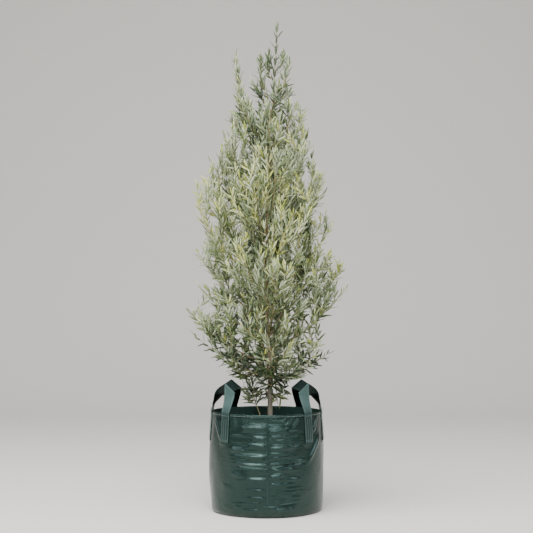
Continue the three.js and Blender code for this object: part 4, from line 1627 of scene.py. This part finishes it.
def grow_shoots(crown):
    for i, (shoot, room, bare, spacing, twigs) in enumerate(SHOOTS):
        line = shoot_line(shoot)
        near = partial(near_path, path=[line(k / 24) for k in range(25)], room=room)
        across, habit = sideways(math.radians(shoot.turn)), (SHOOT_LEAF_SPREAD, spacing)
        grow_branch(crown, line, shoot.radii, bare, across, near, 1500 + i, habit, twigs)


def grow_leader(crown):
    def near(p):
        return p.z < TREE_TOP and (p - trunk_point(p.z)).length < LEADER_ROOM or fits_crown(p)

    line = part_of(trunk_point, TRUNK_TOP, LEADER_TIP)
    habit = (SHOOT_LEAF_SPREAD, LEADER_LEAF_SPACING)
    grow_branch(crown, line, LEADER_RADII, 0.02, Vector((-1, 0, 0)), near, 1600, habit, LEADER_TWIGS)


# %% Spurs from the trunk
GOLDEN_TURN = math.radians(137.5)
SPUR_LOW = 486
SPUR_TOP = 1700
SPUR_STEP = (22, 38)
SPUR_CROWDING = (0.2, 1.0)
GAP_LOW = 510
GAP_HIGH = 1900
SPUR_LENGTH = (64, 130)
SPUR_RISE = (-0.1, 1.3)
SPUR_TRIES = (1, 0.75, 0.5)
RISES_FULLY, CROWDED_TO, LONG_FROM = 900, 760, 600


def grow_spurs(crown):
    random = numbers(1700)
    height, turn, n = SPUR_LOW, 0.6, 0
    while height < SPUR_TOP:
        turn += GOLDEN_TURN
        rise = mix(*SPUR_RISE, share_between(height, SPUR_LOW, RISES_FULLY))
        length = mix(*SPUR_LENGTH, next(random)) * mix(0.75, 1, share_between(height, SPUR_LOW, LONG_FROM))
        root = trunk_point(height) + outward(turn) * read(TRUNK_RADII, height, 1) * 0.6
        way = (outward(turn) + UP * rise).normalized()
        side = sideways(turn)
        for share in SPUR_TRIES:
            end = root + way * length * share
            if fits_crown(end):
                line = curve_through(root, (outward(turn) + UP * 0.3).normalized(), end)
                own = (random, 1710 + 7 * n, SPUR_LOOK, 0.16, SPUR_HABIT, 1.0)
                leafy(crown, line, length * share, side, fits_crown, *own)
                break
        crowding = mix(*SPUR_CROWDING, share_between(height, SPUR_LOW, CROWDED_TO))
        height += mix(*SPUR_STEP, next(random)) * crowding
        n += 1


# %% [markdown]
# Buds break where there is light. So the last twigs are not set out by the rule but sent into the gaps: the
# crown is measured in cubes, and into each cube that holds too few leaves a twig is sent from the nearest
# stem below it. Some cubes are passed over by chance, and there the sky shows. In front of the trunk the
# crown parts a little, so that its tan line shows here and there.

# %% Twigs into the gaps
GAP = 58
GAP_LEAVES = 4
GAP_REACH = (46, 170)
GAP_OUTER = 0.84
GAP_RISE = (0.2, 0.6)
GAP_PASSED_OVER = 0.2
GAP_RISES_FULLY = 1000
FAR_AWAY = 9999
STEM_SAMPLES = 6
PARTING_LOW, PARTING_HIGH = 640, 1560
PARTING_TWIGS, PARTING_LEAVES = 30, 12
PARTED = 0.6


def cube_of(point):
    return tuple(int(v // GAP) for v in point)


def before_trunk(point, half):
    """In the narrow space in front of the trunk, at the heights where it shows."""
    axis = trunk_point(point.z)
    shows = PARTING_LOW < point.z < PARTING_HIGH
    return shows and abs(point.x - axis.x) < half and point.y < axis.y


def leaves_in_cubes(crown):
    count = {}
    for root, out, _, blade, *_ in crown.leaves:
        cube = cube_of(root + out * blade * 0.5)
        count[cube] = count.get(cube, 0) + 1
    return count


def gaps_in(crown, random):
    """The middles of the cubes that hold too few leaves, the nearest to the trunk first."""
    count = leaves_in_cubes(crown)
    gaps = []
    for k in range(int(GAP_LOW // GAP), int(GAP_HIGH // GAP)):
        for i in range(-7, 7):
            for j in range(-7, 7):
                jitter = Vector((next(random), next(random), next(random))) * 0.5 + Vector((0.25, 0.25, 0.25))
                middle = (Vector((i, j, k)) + jitter) * GAP
                passed_over = next(random) < GAP_PASSED_OVER
                reach, turn, _ = crown_place(middle)
                inside = reach < crown_reach(middle.z, turn) * GAP_OUTER and fits_crown(middle)
                wanted = inside and not passed_over and not before_trunk(middle, PARTING_TWIGS)
                if count.get((i, j, k), 0) < GAP_LEAVES and wanted:
                    gaps.append((reach, tuple(middle)))
    return [Vector(middle) for _, middle in sorted(gaps)]


# %% Fill the gaps and part the leaves
def grow_into_gaps(crown):
    random = numbers(1900)
    samples = array_of(line(i / STEM_SAMPLES) for line, *_ in crown.stems for i in range(STEM_SAMPLES + 1))
    sent = 0
    for n, end in enumerate(gaps_in(crown, random)):
        away = np.linalg.norm(samples - np.array(end), axis=1)
        rise = mix(*GAP_RISE, share_between(end.z, GAP_LOW, GAP_RISES_FULLY))
        away[samples[:, 2] > end.z - rise * away] = FAR_AWAY
        away[away < GAP_REACH[0]] = FAR_AWAY
        nearest = int(np.argmin(away))
        if away[nearest] > GAP_REACH[1]:
            continue
        root = Vector(samples[nearest])
        side = sideways(next(random) * math.tau)
        straight = (end - root).normalized()
        first = (straight + side * 0.3 - UP * 0.15).normalized()
        line = curve_through(root, first, end)
        leafy(crown, line, away[nearest], side, fits_crown, random, 2000 + n, GAP_LOOK, 0.12, at=1.0)
        samples = np.concatenate([samples, array_of(line(i / 4) for i in range(1, 5))])
        sent += 1
    print(sent, "twigs sent into the gaps")


def part_leaves(crown):
    """Takes off some of the leaves that hide the trunk from the front."""
    random = numbers(2900)
    kept = []
    for leaf in crown.leaves:
        middle = leaf[0] + leaf[1] * leaf[3] * 0.5
        if not (before_trunk(middle, PARTING_LEAVES) and next(random) < PARTED):
            kept.append(leaf)
    crown.leaves = kept


crown = Crown()
boughs = [(shoot_line(UPRIGHT_BOUGH), UPRIGHT_BOUGH.radii)]
grow_tiers(crown, boughs)
grow_shoots(crown)
grow_leader(crown)
grow_spurs(crown)
grow_into_gaps(crown)
part_leaves(crown)
print(len(boughs), "boughs,", len(crown.stems), "stems and twigs,", len(crown.leaves), "leaves")

# %% [markdown]
# ## The trunk and boughs
# The trunk is one slim stem with a slight wave, flared at the soil. Its bark is smooth and grey at the foot,
# with shallow ridges along it, and turns tan higher up. A curve with a round bevel is the natural tool
# for a limb: each of its points has its own thickness. It is then made a mesh, and the ridges are pushed
# into it, much longer along the limb than across it.

# %% Limbs from curves
LIMB_STEP = 4.0
TRUNK_RIDGES = 0.0007
BOUGH_RIDGES = 0.0005
FLARE = 0.88
FLARE_HEIGHT = 9
TRUNK_FOOT = SOIL_TOP / MM + 0.3


def limb_from(name, line, radius, length, sides=6):
    """A round limb along a line in millimetres, as a mesh in metres."""
    count = max(6, int(length / LIMB_STEP))
    curve = bpy.data.curves.new(name, "CURVE")
    curve.dimensions = "3D"
    curve.bevel_depth = 1.0
    curve.bevel_resolution = sides
    curve.use_fill_caps = True
    spline = curve.splines.new("POLY")
    spline.points.add(count)
    for i, point in enumerate(spline.points):
        point.co = (*(line(i / count) * MM), 1)
        point.radius = radius(i / count) * MM
    piece = bpy.data.objects.new(name, curve)
    bpy.context.scene.collection.objects.link(piece)
    take_up(piece)
    bpy.ops.object.convert(target="MESH")
    return bpy.context.object


def raise_bark(piece, depth):
    """Ridges along a limb, and a knot here and there."""
    normals = np.empty(len(piece.data.vertices) * 3)
    piece.data.vertices.foreach_get("normal", normals)
    points = points_of(piece)
    moves = np.empty(len(points))
    for i, (x, y, z) in enumerate(points):
        ridge = noise.noise(Vector((x * 230, y * 230, z * 34)))
        knot = max(0.0, noise.noise(Vector((x * 30, y * 30, z * 26 + 5)))) ** 2
        moves[i] = depth * (ridge + 1.6 * knot)
    put_points(piece, points + normals.reshape(-1, 3) * moves[:, None])


def trunk_radius(t):
    height = mix(TRUNK_FOOT, TRUNK_TOP, t)
    return read(TRUNK_RADII, height, 1) + FLARE * math.exp(-(height - SOIL_TOP / MM) / FLARE_HEIGHT)


def make_bark_finish(name, foot, top, low, high):
    """One colour at the foot and another above, with darker patches and grain along the limb."""
    finish = Finish(name, 0.82)
    grain = finish.mottle(320.0, 2.6, (1, 1, 0.18))
    patches = finish.mottle(45.0, 2.2, (1, 1, 0.5))
    base = finish.mix(finish.height_share(low, high), foot, top)
    shaded = finish.mix(finish.times(patches, 0.5), base, srgb(112, 104, 88))
    finish.colour(finish.mix(finish.times(grain, 0.45), shaded, srgb(84, 74, 58)))
    finish.bump(grain, 0.0006)
    return finish.material


trunk_line = part_of(trunk_point, TRUNK_FOOT, TRUNK_TOP)
trunk = limb_from("trunk_limb", trunk_line, trunk_radius, TRUNK_TOP - SOIL_TOP / MM, 10)
raise_bark(trunk, TRUNK_RIDGES)
trunk_finish = make_bark_finish("trunk_bark", srgb(150, 141, 126), srgb(174, 146, 104), 0.5, 0.9)
take_up(trunk)
bpy.ops.object.shade_smooth()
set_down(trunk, "trunk_bark", trunk_finish, ["trunk"])

# %% The boughs, joined into one piece
BOUGH_NODES = ["bough_upright"] + [f"bough_{tier}{side}" for tier in (2, 3, 4) for side in "ac"]


def make_boughs():
    limbs = []
    for i, (line, radii) in enumerate(boughs):
        limbs.append(limb_from(f"bough_limb_{i}", line, partial(mix, *radii), length_of(line)))
        raise_bark(limbs[-1], BOUGH_RIDGES)
    take_up(limbs[0])
    for limb in limbs:
        limb.select_set(True)
    bpy.ops.object.join()
    bpy.ops.object.shade_smooth()
    return bpy.context.object


bough_finish = make_bark_finish("bough_bark", srgb(158, 144, 108), srgb(172, 154, 110), 0.6, 1.1)
set_down(make_boughs(), "boughs_bark", bough_finish, BOUGH_NODES)

# %% [markdown]
# ## The stems and twigs
# Stems and twigs are far too many to model one by one, so they are one mesh from arrays: rings of points
# round each twig's line, joined by faces and closed by a pointed tip and foot.

# %% Tubes for every twig
def tube(line, radii, rings, sides):
    """The points and triangles of one closed tapering tube, in metres."""
    stations = [line(i / rings) for i in range(rings + 1)]
    points = [stations[0]]
    for i, middle in enumerate(stations):
        along = heading(line, i / rings)
        side = along.orthogonal().normalized()
        other = along.cross(side)
        thick = mix(radii[0], radii[1], i / rings)
        for k in range(sides):
            angle = math.tau * k / sides
            points.append(middle + (side * math.cos(angle) + other * math.sin(angle)) * thick)
    points.append(stations[-1] + heading(line, 1.0) * 1.5)
    faces = []
    last = len(points) - 1
    for k in range(sides):
        after = (k + 1) % sides
        faces.append((0, 1 + after, 1 + k))
        for i in range(rings):
            a, b = 1 + i * sides + k, 1 + i * sides + after
            faces += [(a, b, b + sides), (a, b + sides, a + sides)]
        faces.append((last, 1 + rings * sides + k, 1 + rings * sides + after))
    return array_of(points) * MM, np.array(faces)


def make_twigs():
    points, corners, total = [], [], 0
    for line, radii, rings, sides in crown.stems:
        p, f = tube(line, radii, rings, sides)
        points.append(p)
        corners.append(f + total)
        total += len(p)
    piece = mesh_from("twigs", np.concatenate(points), np.concatenate(corners))
    take_up(piece)
    bpy.ops.object.shade_smooth()
    return piece


twig_finish = two_colours("young_bark", 0.7, srgb(172, 158, 110), srgb(136, 128, 90), 14.0, 2.4)
twig_finish.bump(twig_finish.mottle(500.0), 0.0002)
set_down(make_twigs(), "twigs", twig_finish.material)

# %% [markdown]
# ## The leaves
# An olive leaf is a narrow lance about 48 mm long and 10 mm wide, folded a little along its midrib and bowed
# back. It is dark and half glossy above and felted silver below. One leaf is laid out point by point, wide in
# the middle and drawn in to its two ends, with its midrib sunk. It is a closed thin body with the underside
# apart, so the two sides take two colours, and it is set out for every leaf with its own length and bow.

# %% One leaf
LEAF_STATIONS = [(0.16, 0.72), (0.46, 1.0), (0.78, 0.66)]
MIDRIB_SUNK = 0.14
LEAF_THICK = 0.055


def one_leaf():
    """A leaf 1 long and 1 wide, with its top towards +Z: its points, its faces and which are below."""
    points = [(0, 0, 0)]
    for at, wide in LEAF_STATIONS:
        sunk = MIDRIB_SUNK * wide
        points += [(-wide / 2, at, 0), (0, at, -sunk), (wide / 2, at, 0), (0, at, -sunk - LEAF_THICK)]
    points.append((0, 1, 0))
    tip = len(points) - 1
    faces = [(0, 2, 1), (0, 3, 2), (0, 1, 4), (0, 4, 3)]
    below = [0, 0, 1, 1]
    for a in range(1, tip - 4, 4):
        b = a + 4
        for first, last, side in ((0, 1, 0), (1, 2, 0), (0, 3, 1), (3, 2, 1)):
            quad = (a + first, a + last, b + last, b + first)
            quad = quad[::-1] if side else quad
            faces += [(quad[0], quad[1], quad[2]), (quad[0], quad[2], quad[3])]
            below += [side, side]
    a = tip - 4
    faces += [(tip, a, a + 1), (tip, a + 1, a + 2), (tip, a + 3, a), (tip, a + 2, a + 3)]
    return np.array(points, float), np.array(faces), np.array(below + [0, 0, 1, 1])


# %% Leaf colours
# The paler colours stand for sprays in the sun and the darker for sprays in shade: painted light, dealt out
# by spray_at.
LEAF_COLOURS = {
    "deep": (srgb(42, 57, 31), srgb(82, 96, 68)),
    "moss": (srgb(71, 87, 46), srgb(117, 130, 95)),
    "sage": (srgb(106, 120, 72), srgb(152, 164, 128)),
    "silver": (srgb(143, 155, 106), srgb(189, 198, 165)),
    "young": (srgb(166, 173, 86), srgb(203, 207, 146)),
}


def make_leaf_finish(name, colour, roughness, sheen):
    darker, paler = (tuple(min(1, value * gain) for value in colour) for gain in (0.82, 1.22))
    return two_colours(name, roughness, darker, paler, 55.0, 1.6, Sheen_Weight=sheen).material


leaf_finishes = []
for spray in SPRAYS:
    above, under = LEAF_COLOURS[spray]
    leaf_finishes.append(make_leaf_finish(f"leaf_{spray}_above", above, 0.34, 0.0))
    leaf_finishes.append(make_leaf_finish(f"leaf_{spray}_under", under, 0.7, 0.12))

# %% [markdown]
# The leaves are joined into three pieces by height, which keeps each piece small enough to handle.

# %% Set out the leaves
NARROWEST = 0.55
REGION_LEVELS = (880, 1260)
FOLIAGE = {
    "leaves_low": ((1, 2, 3), "abcd", ["basal_left", "basal_right"]),
    "leaves_middle": ((4, 5, 6, 7), "abcd", ["upright"]),
    "leaves_high": ((8, 9, 10, 11), "abc", ["left_leader", "leader"]),
}


def make_leaves(name, leaves):
    base, faces, below = one_leaf()
    root, along, facing, length, bow, spray = zip(*leaves)
    root, along, facing = array_of(root), array_of(along), array_of(facing)
    length, bow, spray = np.array(length), np.array(bow), np.array(spray)
    width = LEAF_WIDTH * (NARROWEST + (1 - NARROWEST) * length / LEAF_LENGTH)
    x, y, z = base.T
    points = root[:, None] + np.cross(along, facing)[:, None] * (x[None, :, None] * width[:, None, None])
    points = points + along[:, None] * (y[None, :, None] * length[:, None, None])
    lift = z[None] * width[:, None] - (bow * length)[:, None] * y[None] ** 2
    points = points + facing[:, None] * lift[:, :, None]
    index = (2 * spray[:, None] + below[None]).ravel()
    corners = copied_faces(faces, len(base), len(leaves))
    piece = mesh_from(name, points.reshape(-1, 3) * MM, corners, index)
    for finish in leaf_finishes:
        piece.data.materials.append(finish)
    return piece


def region_of(height):
    return sum(height > level for level in REGION_LEVELS)


for region, (name, (tiers, sides, shoots)) in enumerate(FOLIAGE.items()):
    chosen = [leaf for leaf in crown.leaves if region_of(leaf[0].z) == region]
    nodes = [f"foliage_{mass}" for mass in [f"{tier}{side}" for tier in tiers for side in sides] + shoots]
    set_down(make_leaves(name, chosen), name, None, nodes)
